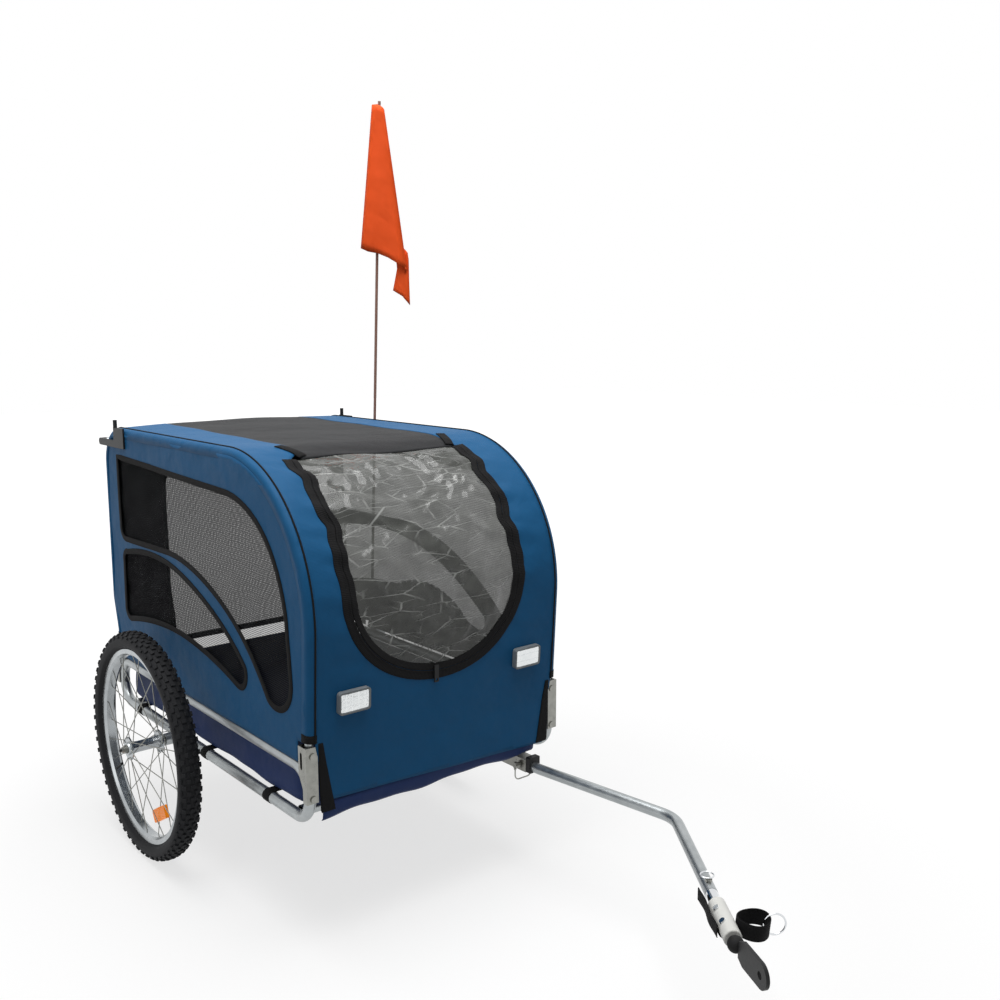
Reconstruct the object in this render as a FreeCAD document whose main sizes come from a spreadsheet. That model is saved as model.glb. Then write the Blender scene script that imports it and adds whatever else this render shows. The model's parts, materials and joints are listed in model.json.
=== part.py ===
# Two-wheeled pet trailer for a bicycle: a folding tube frame with a cloth cabin, a tow bar and a flag.
# Millimetres. X to the trailer's left, -Y forward, Z up. Every piece is drawn about the wheel axle's
# middle above the ground and then carried to the origin, under the middle of the whole length.
import FreeCAD
import Part
import math
import os

V = FreeCAD.Vector

SIZES = [
    ("tyre_radius", 247.0, "outside of the tyre, a 20 inch wheel"),
    ("tyre_half_width", 22.8, "half width of the tyre at its widest"),
    ("tyre_wall", 4.4, "thickness of the tyre"),
    ("rim_radius", 210.0, "outside of the rim's flanges"),
    ("rim_depth", 14.0, "rim from its flanges to its inner face"),
    ("rim_half_width", 13.0, "half width of the rim"),
    ("rim_wall", 2.6, "wall of the rim"),
    ("tube_section", 14.5, "radius of the inner tube's section"),
    ("wheel_offset", 80.6, "wheel's middle plane outside the side tubes"),
    ("flange_half_gap", 33.0, "hub flange's middle from the wheel's middle plane"),
    ("flange_thick", 3.0, "hub flange"),
    ("flange_radius", 25.0, "hub flange"),
    ("spoke_circle", 21.0, "radius of the spoke holes' circle"),
    ("hub_radius", 14.0, "hub barrel"),
    ("hub_lip", 5.0, "hub end past its flange"),
    ("bearing_radius", 10.0, "outside of the hub's bearings"),
    ("bearing_width", 7.0, "hub bearing"),
    ("axle_radius", 6.0, "wheel axle"),
    ("axle_end", 50.0, "axle's outer end past the wheel's middle plane"),
    ("nut_radius", 9.5, "axle nut"),
    ("nut_thick", 6.0, "axle nut"),
    ("button_radius", 3.0, "push button in the axle's end"),
    ("button_proud", 4.0, "push button past the axle's end"),
    ("button_depth", 12.0, "push button's bore"),
    ("spoke_radius", 1.0, "spoke"),
    ("spoke_lift", 1.2, "outer spokes' room as they cross their flange's edge"),
    ("spokes_a_side", 14.0, "spokes on one flange"),
    ("lacing_turn", 50.0, "degrees from a spoke's hub hole to its rim hole"),
    ("running_gap", 0.05, "radial clearance of a turning fit"),
    ("seat_gap", 0.3, "clearance of a piece on its seat"),
    ("lens_length", 70.0, "spoke reflector"),
    ("lens_height", 28.0, "spoke reflector"),
    ("lens_radius", 150.0, "spoke reflector from the axle"),
    ("lens_swing", -29.0, "degrees that the spoke reflector hangs from straight down"),
    ("valve_radius", 3.0, "tyre valve"),
    ("valve_length", 32.0, "tyre valve"),
    ("frame_half", 288.0, "side tubes from the trailer's middle"),
    ("lower_rail", 251.0, "lower side tubes above the ground"),
    ("upper_rail", 350.0, "upper side tubes above the ground"),
    ("rail_radius", 11.0, "base tubes"),
    ("rail_wall", 1.6, "wall of the base tubes"),
    ("rail_bend", 45.0, "bends of the base tubes"),
    ("front_reach", 564.0, "base tubes' front uprights ahead of the axle"),
    ("rear_reach", 310.0, "base tubes' rear uprights behind the axle"),
    ("cross_inset", 55.0, "cross tubes inside the uprights"),
    ("socket_radius", 13.0, "axle socket"),
    ("ear_length", 60.0, "axle socket's plate on the rail"),
    ("ear_thick", 4.0, "axle socket's plate on the rail"),
    ("bracket_wall", 2.5, "hinge bracket's sheet"),
    ("bracket_low", 292.0, "hinge bracket's foot above the ground"),
    ("bracket_high", 397.0, "hinge bracket's top above the ground"),
    ("bracket_lip", 10.0, "hinge bracket's flanges past the tube's middle"),
    ("slot_width", 7.0, "slot in the hinge bracket"),
    ("slot_inward", 4.0, "slot in the hinge bracket, from the upright's middle"),
    ("slot_low", 354.0, "slot in the hinge bracket, lower end"),
    ("slot_high", 386.0, "slot in the hinge bracket, upper end"),
    ("relief_low", 318.0, "hinge bracket's cut-back corner, lower end at the upright's middle"),
    ("relief_high", 346.0, "hinge bracket's cut-back corner, upper end at its flange"),
    ("rivet_radius", 4.0, "hinge rivet"),
    ("rivet_head", 6.5, "hinge rivet's head"),
    ("rivet_head_thick", 2.5, "hinge rivet's head"),
    ("foot_rivet_height", 300.0, "rivet that holds the bracket's foot"),
    ("pivot_height", 380.0, "hoop pivots above the ground"),
    ("hoop_radius", 8.0, "hoop tubes"),
    ("hoop_wall", 1.5, "wall of the hoop tubes"),
    ("hoop_top", 898.0, "hoops' top tubes above the ground"),
    ("hoop_lean", 3.7, "degrees that the front legs lean forward"),
    ("hoop_front_bend", 290.0, "hoops' front bend"),
    ("hoop_rear_bend", 75.0, "hoops' rear bend"),
    ("nest_step", 20.0, "left rear leg behind the right one, so that the hoops pass each other"),
    ("nest_low", 425.0, "step in the left rear leg, lower end"),
    ("nest_high", 500.0, "step in the left rear leg, upper end"),
    ("nest_bend", 60.0, "bends of that step"),
    ("cloth", 1.5, "cabin cloth"),
    ("net_thick", 0.6, "window net"),
    ("hem_height", 362.0, "lower hem of the side panels"),
    ("skirt_middle", 240.0, "front skirt's lower edge in its middle"),
    ("skirt_side", 268.0, "front skirt's lower edge at its sides"),
    ("roof_front", 384.0, "roof's front edge ahead of the axle"),
    ("roof_drop", 85.8, "roof's rear edge below the cover's top"),
    ("door_margin", 83.0, "zipped front door's edge in from the side tubes"),
    ("door_low", 485.0, "door's lowest point above the ground"),
    ("door_round", 170.0, "height of the door's round foot"),
    ("zip_width", 24.0, "zip tape round the door"),
    ("pull_length", 34.0, "zip pull"),
    ("pull_width", 10.0, "zip pull"),
    ("pull_thick", 2.5, "zip pull"),
    ("pull_side", -20.0, "zip pull from the trailer's middle"),
    ("window_margin", 9.0, "net past the windows' edges"),
    ("lamp_width", 66.0, "front reflector"),
    ("lamp_height", 42.0, "front reflector"),
    ("lamp_thick", 12.0, "front reflector"),
    ("lamp_margin", 81.0, "front reflector's middle in from the side tubes"),
    ("lamp_middle", 469.0, "front reflector above the ground"),
    ("tub_rim", 341.5, "floor tub's rim above the ground"),
    ("tub_margin", 8.0, "floor tub's rim in from the side tubes"),
    ("tub_taper", 10.0, "floor tub drawn in at its floor"),
    ("tub_cloth", 2.0, "floor tub's cloth"),
    ("tub_corner", 50.0, "floor tub's corners"),
    ("strap_width", 25.0, "webbing straps round the lower tubes"),
    ("strap_thick", 1.6, "webbing straps"),
    ("strap_under", 20.0, "webbing straps under the tub's floor"),
    ("tow_margin", 59.0, "tow bar's root in from the left side tube"),
    ("tow_height", 225.0, "tow bar above the ground"),
    ("tow_radius", 11.0, "tow bar"),
    ("tow_wall", 2.0, "tow bar's wall"),
    ("tow_root", 480.0, "tow bar's rear end ahead of the axle"),
    ("tow_kink", 604.0, "tow bar's first bend ahead of the axle"),
    ("tow_elbow", 938.0, "tow bar's second bend ahead of the axle"),
    ("tow_splay", 42.0, "tow bar's second bend to the left of its root"),
    ("tow_turn", 37.0, "degrees that the tow bar's end turns in"),
    ("tow_end", 275.0, "tow bar past its second bend"),
    ("tow_bend", 70.0, "tow bar's second bend"),
    ("channel_wall", 3.0, "tow bracket's sheet"),
    ("channel_length", 98.0, "tow bracket"),
    ("channel_ahead", 4.0, "tow bracket ahead of the base tubes"),
    ("channel_drop", 12.0, "tow bracket's walls below the tow bar's middle"),
    ("block_length", 12.0, "plastic mouthpiece of the tow bracket"),
    ("block_round", 3.0, "mouthpiece's long edges"),
    ("block_rise", 22.0, "mouthpiece above the tow bar's middle"),
    ("pin_radius", 3.5, "tow bar's lock pin"),
    ("pin_ahead", 556.0, "lock pin ahead of the axle"),
    ("bail_wire", 1.4, "lock pin's spring bail"),
    ("pin_head", 6.0, "lock pin's head"),
    ("pin_spare", 6.0, "lock pin past its bracket"),
    ("bail_drop", 34.0, "lock pin's bail below the pin"),
    ("chrome_radius", 10.6, "hitch's inner tube where it shows"),
    ("chrome_length", 31.0, "hitch's inner tube where it shows"),
    ("chrome_inside", 60.0, "hitch's inner tube inside the tow bar"),
    ("sleeve_end", 20.0, "sleeve's solid end past the inner tube"),
    ("sleeve_round", 2.5, "sleeve's end edges"),
    ("sleeve_radius", 14.5, "hitch's plastic sleeve"),
    ("sleeve_length", 99.0, "hitch's plastic sleeve"),
    ("screw_radius", 5.0, "sleeve screws' heads"),
    ("screw_proud", 1.6, "sleeve screws' heads"),
    ("ball_radius", 13.0, "hitch's rubber joint"),
    ("plate_turn", 26.0, "degrees that the hitch plate turns in"),
    ("plate_hole_reach", 80.0, "hitch plate's hole from the rubber joint"),
    ("plate_half", 20.0, "half height of the hitch plate"),
    ("plate_neck", 13.0, "half height of the hitch plate at the joint"),
    ("plate_shoulder", 14.0, "hitch plate's taper from its neck"),
    ("plate_thick", 6.0, "hitch plate"),
    ("plate_hole", 6.0, "radius of the hitch plate's hole"),
    ("linch_radius", 3.0, "coupler pin"),
    ("linch_back", 22.0, "coupler pin from the tow bar's end"),
    ("ring_radius", 11.0, "split ring on the coupler pin"),
    ("ring_wire", 1.3, "split ring"),
    ("tether_width", 25.0, "safety strap"),
    ("tether_thick", 2.2, "safety strap"),
    ("tether_loop", 27.0, "safety strap's loop radius"),
    ("tether_wire", 1.6, "safety strap's ring"),
    ("flag_back", 139.0, "flag pole behind the axle at its socket"),
    ("flag_lean", 3.37, "degrees that the flag pole leans forward"),
    ("flag_low", 334.0, "flag pole's foot above the ground"),
    ("flag_length", 1338.0, "flag pole"),
    ("flag_radius", 3.5, "flag pole"),
    ("flag_socket", 7.0, "flag socket's radius"),
    ("flag_socket_length", 62.0, "flag socket"),
    ("flag_socket_floor", 4.0, "flag socket below the pole's foot"),
    ("pennant_below_top", 4.0, "pennant below the pole's top"),
    ("pennant_hoist", 330.0, "pennant along the pole"),
    ("pennant_thick", 1.4, "pennant cloth"),
    ("bar_radius", 8.0, "spreader bar between the hoops"),
    ("bar_drop", 26.0, "spreader bar below the hoops' top tubes"),
    ("hook_wall", 4.0, "spreader bar's end hooks"),
    ("hook_height", 46.0, "spreader bar's end hooks"),
    ("hook_length", 57.0, "spreader bar's end hooks"),
    ("hook_ahead", 125.0, "spreader hooks' front end ahead of the left hoop's rear leg"),
    ("hook_proud", 2.0, "spreader hooks above the cover"),
    ("knob_radius", 4.5, "thumb screw on a spreader hook"),
    ("knob_height", 18.0, "thumb screw on a spreader hook"),
]

doc = FreeCAD.newDocument("pet_trailer")
sheet = doc.addObject("Spreadsheet::Sheet", "sizes")
for row, (alias, value, note) in enumerate(SIZES, start=1):
    sheet.set(f"A{row}", note)
    sheet.set(f"B{row}", str(value))
    sheet.setAlias(f"B{row}", alias)
doc.recompute()

parts = []


def size(alias):
    return float(sheet.get(alias))


def turned(degrees):
    """The level direction that lies so many degrees from straight ahead, towards the right."""
    angle = math.radians(degrees)
    return V(-math.sin(angle), -math.cos(angle), 0)


GAP = size("seat_gap")
RUN = size("running_gap")
AXLE = size("tyre_radius")
RAIL = size("rail_radius")
HALF = size("frame_half")
FRONT = -size("front_reach")
REAR = size("rear_reach")
CLOTH = size("cloth")
TRACK = HALF + size("wheel_offset")
DOOR_HALF = HALF - size("door_margin")
TUB_HALF = HALF - size("tub_margin")
TOW_SIDE = HALF - size("tow_margin")
BAR_HEIGHT = size("hoop_top") - size("bar_drop")
# Cutting blocks start well ahead of the cabin and reach well past it
AHEAD = 2 * FRONT
THROUGH = 2 * (REAR - FRONT)
SIDES = (("right", -1), ("left", 1))
CORNERS = [(side, ahead) for side in (-1, 1) for ahead in (FRONT, REAR)]

# The hitch, laid out from the tow bar's second bend
ELBOW = V(TOW_SIDE + size("tow_splay"), -size("tow_elbow"), size("tow_height"))
TOW_WAY = turned(size("tow_turn"))
BAR_END = ELBOW + TOW_WAY * size("tow_end")
SLEEVE_START = BAR_END + TOW_WAY * size("chrome_length")
SLEEVE_END = SLEEVE_START + TOW_WAY * size("sleeve_length")
JOINT = SLEEVE_END + TOW_WAY * (size("ball_radius") + GAP)
PLATE_WAY = turned(size("plate_turn"))
PLATE_HOLE = JOINT + PLATE_WAY * size("plate_hole_reach")

# The cover's outside lies one cloth and a seat past the hoops
COVER = size("hoop_radius") + GAP + CLOTH
COVER_TOP = size("hoop_top") + COVER
REAR_LEG = REAR + size("nest_step")
BAR_BACK = REAR_LEG + COVER + GAP + size("bar_radius")
PLATE_ANGLE = math.radians(size("plate_turn"))
FRONT_TIP = (PLATE_HOLE.y - size("plate_half") * math.cos(PLATE_ANGLE)
             - size("plate_thick") / 2 * math.sin(PLATE_ANGLE))
REAR_TIP = BAR_BACK + size("bar_radius")
TO_ORIGIN = FreeCAD.Placement(V(0, -(FRONT_TIP + REAR_TIP) / 2, 0), FreeCAD.Rotation())


def keep(piece, name, local=FreeCAD.Placement()):
    """Name a finished piece, carry it to the part's origin and list it."""
    piece.Label = name
    piece.Placement = TO_ORIGIN.multiply(local)
    parts.append(piece)
    return piece


def solid(name, *shapes):
    """A piece whose shape is set by code: one solid, or a group of like solids."""
    piece = doc.addObject("Part::Feature", name)
    piece.Shape = shapes[0] if len(shapes) == 1 else Part.makeCompound(list(shapes))
    return keep(piece, name)


def cylinder(name, radius, height, base, axis):
    """A round piece whose radius and height are expressions on the sheet."""
    piece = doc.addObject("Part::Cylinder", name)
    piece.setExpression("Radius", radius)
    piece.setExpression("Height", height)
    return keep(piece, name, FreeCAD.Placement(base, FreeCAD.Rotation(V(0, 0, 1), axis)))


def rod(radius, start, end):
    return Part.makeCylinder(radius, start.distanceToPoint(end), start, end - start)


def box(low, high):
    return Part.makeBox(high.x - low.x, high.y - low.y, high.z - low.z, low)


def rounded_path(points, bends):
    """Straight runs through the points, joined by tangent arcs of the given radii."""
    edges = []
    start = points[0]
    for before, corner, after, bend in zip(points, points[1:], points[2:], bends):
        back = (before - corner).normalize()
        ahead = (after - corner).normalize()
        half_turn = (math.pi - back.getAngle(ahead)) / 2
        reach = bend * math.tan(half_turn)
        inward = (back + ahead).normalize()
        first = corner + back * reach
        last = corner + ahead * reach
        middle = corner + inward * (bend / math.cos(half_turn) - bend)
        edges.append(Part.LineSegment(start, first).toShape())
        edges.append(Part.Arc(first, middle, last).toShape())
        start = last
    edges.append(Part.LineSegment(start, points[-1]).toShape())
    return Part.Wire(edges)


def pipe(points, bends, radius):
    """A round bar along a path of straight runs and tangent arcs."""
    path = rounded_path(points, bends)
    ring = Part.Wire(Part.makeCircle(radius, points[0], points[1] - points[0]))
    bar = path.makePipeShell([ring], True, False)
    wanted = math.pi * radius ** 2 * path.Length
    if abs(bar.Volume - wanted) > 0.02 * wanted:
        raise ValueError(f"a pipe's volume is {bar.Volume:.0f}, not {wanted:.0f}")
    return bar


def tube(points, bends, radius, wall):
    return pipe(points, bends, radius).cut(pipe(points, bends, radius - wall))


def revolved(name, outline, side):
    """A wheel piece: a closed outline of lines and arcs in (across, out) turned about the axle."""
    body = doc.addObject("PartDesign::Body", name + "_body")
    sketch = body.newObject("Sketcher::SketchObject", name + "_outline")
    plane = [f for f in body.Origin.OriginFeatures if f.Role == "XZ_Plane"][0]
    sketch.AttachmentSupport = [(plane, "")]
    sketch.MapMode = "FlatFace"
    for piece in outline:
        spots = [V(across, out, 0) for across, out in piece]
        curve = Part.LineSegment(*spots) if len(spots) == 2 else Part.Arc(*spots)
        sketch.addGeometry(curve, False)
    turn = body.newObject("PartDesign::Revolution", name + "_turn")
    turn.Profile = sketch
    turn.ReferenceAxis = (sketch, ["H_Axis"])
    turn.Angle = 360
    return keep(body, name, FreeCAD.Placement(V(side * TRACK, 0, AXLE), FreeCAD.Rotation()))


def loop_of(points):
    """Lines through the points and back to the first."""
    return [[first, last] for first, last in zip(points, points[1:] + points[:1])]


# Wheels
def tyre(side_name, side):
    rim = size("rim_radius")
    crown = size("tyre_radius")
    wide = size("tyre_half_width")
    wall = size("tyre_wall")
    seat = size("rim_half_width") - size("rim_wall") - GAP
    bead = rim - size("rim_depth") / 2 + GAP
    outer = [(seat, rim + 1), (wide, (rim + crown) / 2 - 4), (0.74 * wide, crown - 7)]
    inner = [(seat - wall + 1, rim + 2), (wide - wall, (rim + crown) / 2 - 4),
             (0.74 * wide - wall + 1, crown - 7 - wall / 2)]
    flip = [[(-across, out) for across, out in arc] for arc in (outer, inner)]
    outline = [
        outer,
        [outer[2], (0, crown), flip[0][2]],
        flip[0],
        [flip[0][0], (-seat, bead)],
        [(-seat, bead), (-seat + wall - 1, bead)],
        [(-seat + wall - 1, bead), flip[1][0]],
        flip[1],
        [flip[1][2], (0, crown - wall), inner[2]],
        inner,
        [inner[0], (seat - wall + 1, bead)],
        [(seat - wall + 1, bead), (seat, bead)],
        [(seat, bead), outer[0]],
    ]
    revolved(side_name + "_tyre", outline, side)


def rim(side_name, side):
    edge = size("rim_radius")
    deep = size("rim_depth")
    wide = size("rim_half_width")
    wall = size("rim_wall")
    half = [(wide - wall, edge), (wide, edge), (wide, edge - 0.7 * deep), (0.6 * wide, edge - deep)]
    floor = [(wide - wall, edge - deep / 2)]
    mirrored = [(-across, out) for across, out in reversed(floor + half)]
    revolved(side_name + "_rim", loop_of(floor + half + mirrored), side)


def inner_tube(side_name, side):
    ring = doc.addObject("Part::Torus", side_name + "_inner_tube")
    ring.setExpression("Radius1", "sizes.tyre_radius - sizes.tyre_wall - sizes.tube_section - sizes.seat_gap")
    ring.setExpression("Radius2", "sizes.tube_section")
    upright = FreeCAD.Rotation(V(0, 0, 1), V(1, 0, 0))
    keep(ring, side_name + "_inner_tube", FreeCAD.Placement(V(side * TRACK, 0, AXLE), upright))


def hub(side_name, side):
    flange = size("flange_half_gap")
    thick = size("flange_thick") / 2
    tall = size("flange_radius")
    barrel = size("hub_radius")
    bore = size("bearing_radius")
    end = flange + size("hub_lip")
    half = [(end, bore), (end, barrel - 1), (flange + thick, barrel), (flange + thick, tall),
            (flange - thick, tall), (flange - thick, barrel), (flange / 2, barrel - 2)]
    mirrored = [(-across, out) for across, out in reversed(half)]
    revolved(side_name + "_hub", loop_of(half + mirrored), side)


def spoke_at(side, flange, number):
    """One spoke, laced to the outer or inner face of its flange by turns."""
    count = int(size("spokes_a_side"))
    lay = 1 if number % 2 else -1
    rim_angle = 2 * math.pi * (number + (0.5 if flange > 0 else 0)) / count
    hub_angle = rim_angle + lay * math.radians(size("lacing_turn"))
    beside = size("flange_thick") / 2 + size("spoke_radius") + RUN
    if lay > 0:
        beside += size("spoke_lift")
    hub_across = flange * (size("flange_half_gap") + lay * beside)
    rim_across = flange * (2.5 + lay * 1.3) * size("spoke_radius")
    rim_inner = size("rim_radius") - size("rim_depth") - GAP - 0.2 * size("spoke_radius")
    middle = V(side * TRACK, 0, AXLE)
    ring = size("spoke_circle")
    start = middle + V(hub_across, ring * math.sin(hub_angle), ring * math.cos(hub_angle))
    end = middle + V(rim_across, rim_inner * math.sin(rim_angle), rim_inner * math.cos(rim_angle))
    return rod(size("spoke_radius"), start, end)


def spokes(side_name, side):
    count = int(size("spokes_a_side"))
    solid(side_name + "_spokes", *[spoke_at(side, flange, k) for flange in (-1, 1) for k in range(count)])


def bearings(side_name, side):
    rings = []
    for end in (-1, 1):
        far = size("flange_half_gap") + size("hub_lip") - 1
        across = side * TRACK + end * (far - size("bearing_width") / 2)
        half = V(size("bearing_width") / 2, 0, 0)
        middle = V(across, 0, AXLE)
        outer = rod(size("bearing_radius") - RUN, middle - half, middle + half)
        rings.append(outer.cut(rod(size("axle_radius") + RUN, middle - half * 2, middle + half * 2)))
    solid(side_name + "_bearings", *rings)


def axle(side_name, side):
    """A stub axle, bored at its outer end, and the push button in the bore."""
    inner = V(side * (HALF + RAIL + 2 * GAP), 0, AXLE)
    outer = V(side * (TRACK + size("axle_end")), 0, AXLE)
    inward = V(-side, 0, 0)
    bore = rod(size("button_radius") + RUN, outer - inward, outer + inward * size("button_depth"))
    near = outer + inward * (size("button_depth") - size("button_proud"))
    cylinder(side_name + "_button", "sizes.button_radius", "sizes.button_depth", near, V(side, 0, 0))
    return rod(size("axle_radius"), inner, outer).cut(bore)


def axle_nuts():
    """A six-sided nut outside each hub and a washer-faced spacer inside it."""
    nuts = []
    reach = size("flange_half_gap") + size("hub_lip") + GAP
    for _, side in SIDES:
        for end in (-1, 1):
            start = side * TRACK + end * reach
            corners = []
            for step in range(7):
                angle = math.radians(60 * step)
                out = V(0, math.sin(angle), math.cos(angle)) * size("nut_radius")
                corners.append(V(start, 0, AXLE) + out)
            thick = min(size("nut_thick"), size("axle_end") - reach - 1)
            body = Part.Face(Part.makePolygon(corners)).extrude(V(end * thick, 0, 0))
            middle = V(start, 0, AXLE)
            span = V(2 * size("nut_thick"), 0, 0)
            nuts.append(body.cut(rod(size("axle_radius") + RUN, middle - span, middle + span)))
    solid("axle_nuts", *nuts)


def spoke_reflector(side_name, side):
    """An orange lens clipped between the two rows of spokes, low in the wheel."""
    reach = size("lens_radius")
    rim_inner = size("rim_radius") - size("rim_depth")
    share = (rim_inner - reach - size("lens_height") / 2) / (rim_inner - size("spoke_circle"))
    thick = 2 * (size("flange_half_gap") * share - 1.3 * size("spoke_radius"))
    lens = doc.addObject("Part::Box", side_name + "_spoke_reflector")
    lens.Length = thick
    lens.setExpression("Width", "sizes.lens_length")
    lens.setExpression("Height", "sizes.lens_height")
    middle = V(side * TRACK, 0, AXLE)
    corner = V(-thick / 2, -size("lens_length") / 2, -reach - size("lens_height") / 2)
    swing = FreeCAD.Rotation(V(1, 0, 0), size("lens_swing"))
    keep(lens, side_name + "_spoke_reflector", FreeCAD.Placement(middle + swing.multVec(corner), swing))


def valve(side_name, side):
    spacing = math.pi / size("spokes_a_side")
    angle = spacing * (round(2.0 / spacing) + 0.5)
    way = V(0, math.sin(angle), math.cos(angle))
    middle = V(side * TRACK, 0, AXLE)
    start = middle + way * (size("rim_radius") - size("rim_depth") - GAP)
    cylinder(side_name + "_valve", "sizes.valve_radius", "sizes.valve_length", start, way * -1)


for side_name, side in SIDES:
    tyre(side_name, side)
    rim(side_name, side)
    inner_tube(side_name, side)
    hub(side_name, side)
    spokes(side_name, side)
    bearings(side_name, side)
    spoke_reflector(side_name, side)
    valve(side_name, side)
solid("axles", *[axle(side_name, side) for side_name, side in SIDES])
axle_nuts()


# Base frame: a closed loop of tube on each side, butted under its axle socket, and two cross tubes
LOOP_BENDS = [size("rail_bend")] * 4


def loop_points(side):
    """A side loop's corners: back along the lower rail, forward along the upper one and back to the start."""
    low = size("lower_rail")
    high = size("upper_rail")
    spots = [(GAP / 2, low), (REAR, low), (REAR, high), (FRONT, high), (FRONT, low), (-GAP / 2, low)]
    return [V(side * HALF, along, up) for along, up in spots]


def foot_rivet(side, ahead, radius, reach):
    middle = V(side * HALF, ahead, size("foot_rivet_height"))
    return rod(radius, middle - V(0, reach, 0), middle + V(0, reach, 0))


def side_loop(side_name, side):
    bar = tube(loop_points(side), LOOP_BENDS, RAIL, size("rail_wall"))
    for ahead in (FRONT, REAR):
        bar = bar.cut(foot_rivet(side, ahead, size("rivet_radius") + RUN, 2 * RAIL))
    solid(side_name + "_rail", bar)


def cross_tubes():
    """Two straight tubes between the lower rails, under the floor cloth."""
    end = V(HALF - RAIL - GAP, 0, 0)
    bars = []
    for along in (FRONT + size("cross_inset"), REAR - size("cross_inset")):
        middle = V(0, along, size("lower_rail"))
        bore = rod(RAIL - size("rail_wall"), middle - end * 2, middle + end * 2)
        bars.append(rod(RAIL, middle - end, middle + end).cut(bore))
    solid("cross_tubes", *bars)


for side_name, side in SIDES:
    side_loop(side_name, side)
cross_tubes()

CHANNEL_HALF = RAIL + GAP
FLANGE_OUT = CHANNEL_HALF + size("bracket_wall")
FAT_LOOPS = {side: pipe(loop_points(side), LOOP_BENDS, RAIL + GAP / 2) for _, side in SIDES}


def inward(ahead):
    """The way along the trailer from a corner towards the axle."""
    return -math.copysign(1, ahead)


def bracket_box(side, ahead, half, spare=0.0):
    """The block that a hinge bracket fills, as wide as asked and with room to spare round it."""
    inner = side * (HALF - size("bracket_lip") - spare)
    outer = side * (HALF + FLANGE_OUT + spare)
    low = V(min(inner, outer), ahead - half - spare, size("bracket_low") - spare)
    high = V(max(inner, outer), ahead + half + spare, size("bracket_high") + spare)
    return box(low, high)


def bracket_slot(side, ahead):
    """A pressed slot through a bracket's web, round at both ends."""
    half = size("slot_width") / 2
    web = side * (HALF + FLANGE_OUT)
    along = ahead + inward(ahead) * size("slot_inward")
    span = V(2 * size("bracket_wall"), 0, 0)
    low = V(web, along, size("slot_low") + half)
    high = V(web, along, size("slot_high") - half)
    slot = box(low - span - V(0, half, 0), high + span + V(0, half, 0))
    for end in (low, high):
        slot = slot.fuse(rod(half, end - span, end + span))
    return slot


def bracket_relief(side, ahead):
    """The bracket's lower inward corner, cut back so that the tube's bend shows."""
    out = ahead + inward(ahead) * (FLANGE_OUT + 1)
    low = size("bracket_low") - 1
    start = side * (HALF - size("bracket_lip") - 1)
    spots = [(out, size("relief_high")), (ahead, size("relief_low")), (ahead, low), (out, low)]
    corners = [V(start, along, up) for along, up in spots]
    face = Part.Face(Part.makePolygon(corners + corners[:1]))
    return face.extrude(V(side * (size("bracket_lip") + FLANGE_OUT + 2), 0, 0))


def hinge_bracket(ahead, side):
    """A folded channel, open inwards, that holds a loop's upright and the foot of a hoop."""
    channel = bracket_box(side, ahead, FLANGE_OUT)
    inside = bracket_box(side, ahead, CHANNEL_HALF, 0)
    inside.translate(V(-side * size("bracket_wall"), 0, 0))
    inside = inside.fuse(inside.translated(V(0, 0, 1))).fuse(inside.translated(V(0, 0, -1)))
    channel = channel.cut(inside).cut(bracket_slot(side, ahead)).cut(bracket_relief(side, ahead))
    for height in (size("pivot_height"), size("foot_rivet_height")):
        middle = V(side * HALF, ahead, height)
        span = V(0, 2 * FLANGE_OUT, 0)
        channel = channel.cut(rod(size("rivet_radius") + RUN, middle - span, middle + span))
    channel = channel.cut(FAT_LOOPS[side])
    return max(channel.Solids, key=lambda piece: piece.Volume)


def rivet(side, ahead, height, reach):
    """A rivet along the trailer with a flat head on the outer flange and one at its inward reach."""
    middle = V(side * HALF, ahead, height)
    way = V(0, inward(ahead), 0)
    outer = middle - way * (FLANGE_OUT + GAP / 2)
    inner = middle + way * (reach + GAP / 2)
    head = way * size("rivet_head_thick")
    pin = rod(size("rivet_radius"), outer, inner)
    pin = pin.fuse(rod(size("rivet_head"), outer - head, outer))
    return pin.fuse(rod(size("rivet_head"), inner, inner + head)).removeSplitter()


RIVETS = ((size("pivot_height"), FLANGE_OUT), (size("foot_rivet_height"), RAIL))
solid("hinge_brackets", *[hinge_bracket(ahead, side) for side, ahead in CORNERS])
solid("hinge_rivets", *[rivet(side, ahead, height, reach) for side, ahead in CORNERS
                        for height, reach in RIVETS])


def axle_socket(side):
    """A short tube on the lower rail's outside that holds the stub axle."""
    inner = V(side * (HALF + RAIL + GAP), 0, AXLE)
    hub_end = TRACK - size("flange_half_gap") - size("hub_lip")
    outer = V(side * (hub_end - size("nut_thick") - 2 * GAP), 0, AXLE)
    collar = rod(size("socket_radius"), inner, outer)
    ear = inner.x + side * size("ear_thick")
    half = size("ear_length") / 2
    ear_low = V(min(inner.x, ear), -half, size("lower_rail") - RAIL)
    ear_high = V(max(inner.x, ear), half, size("lower_rail") + RAIL)
    collar = collar.fuse(box(ear_low, ear_high)).removeSplitter()
    collar = collar.cut(rod(size("axle_radius") + RUN, inner - V(side, 0, 0), outer + V(side, 0, 0)))
    return collar


solid("axle_sockets", *[axle_socket(side) for _, side in SIDES])


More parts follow.
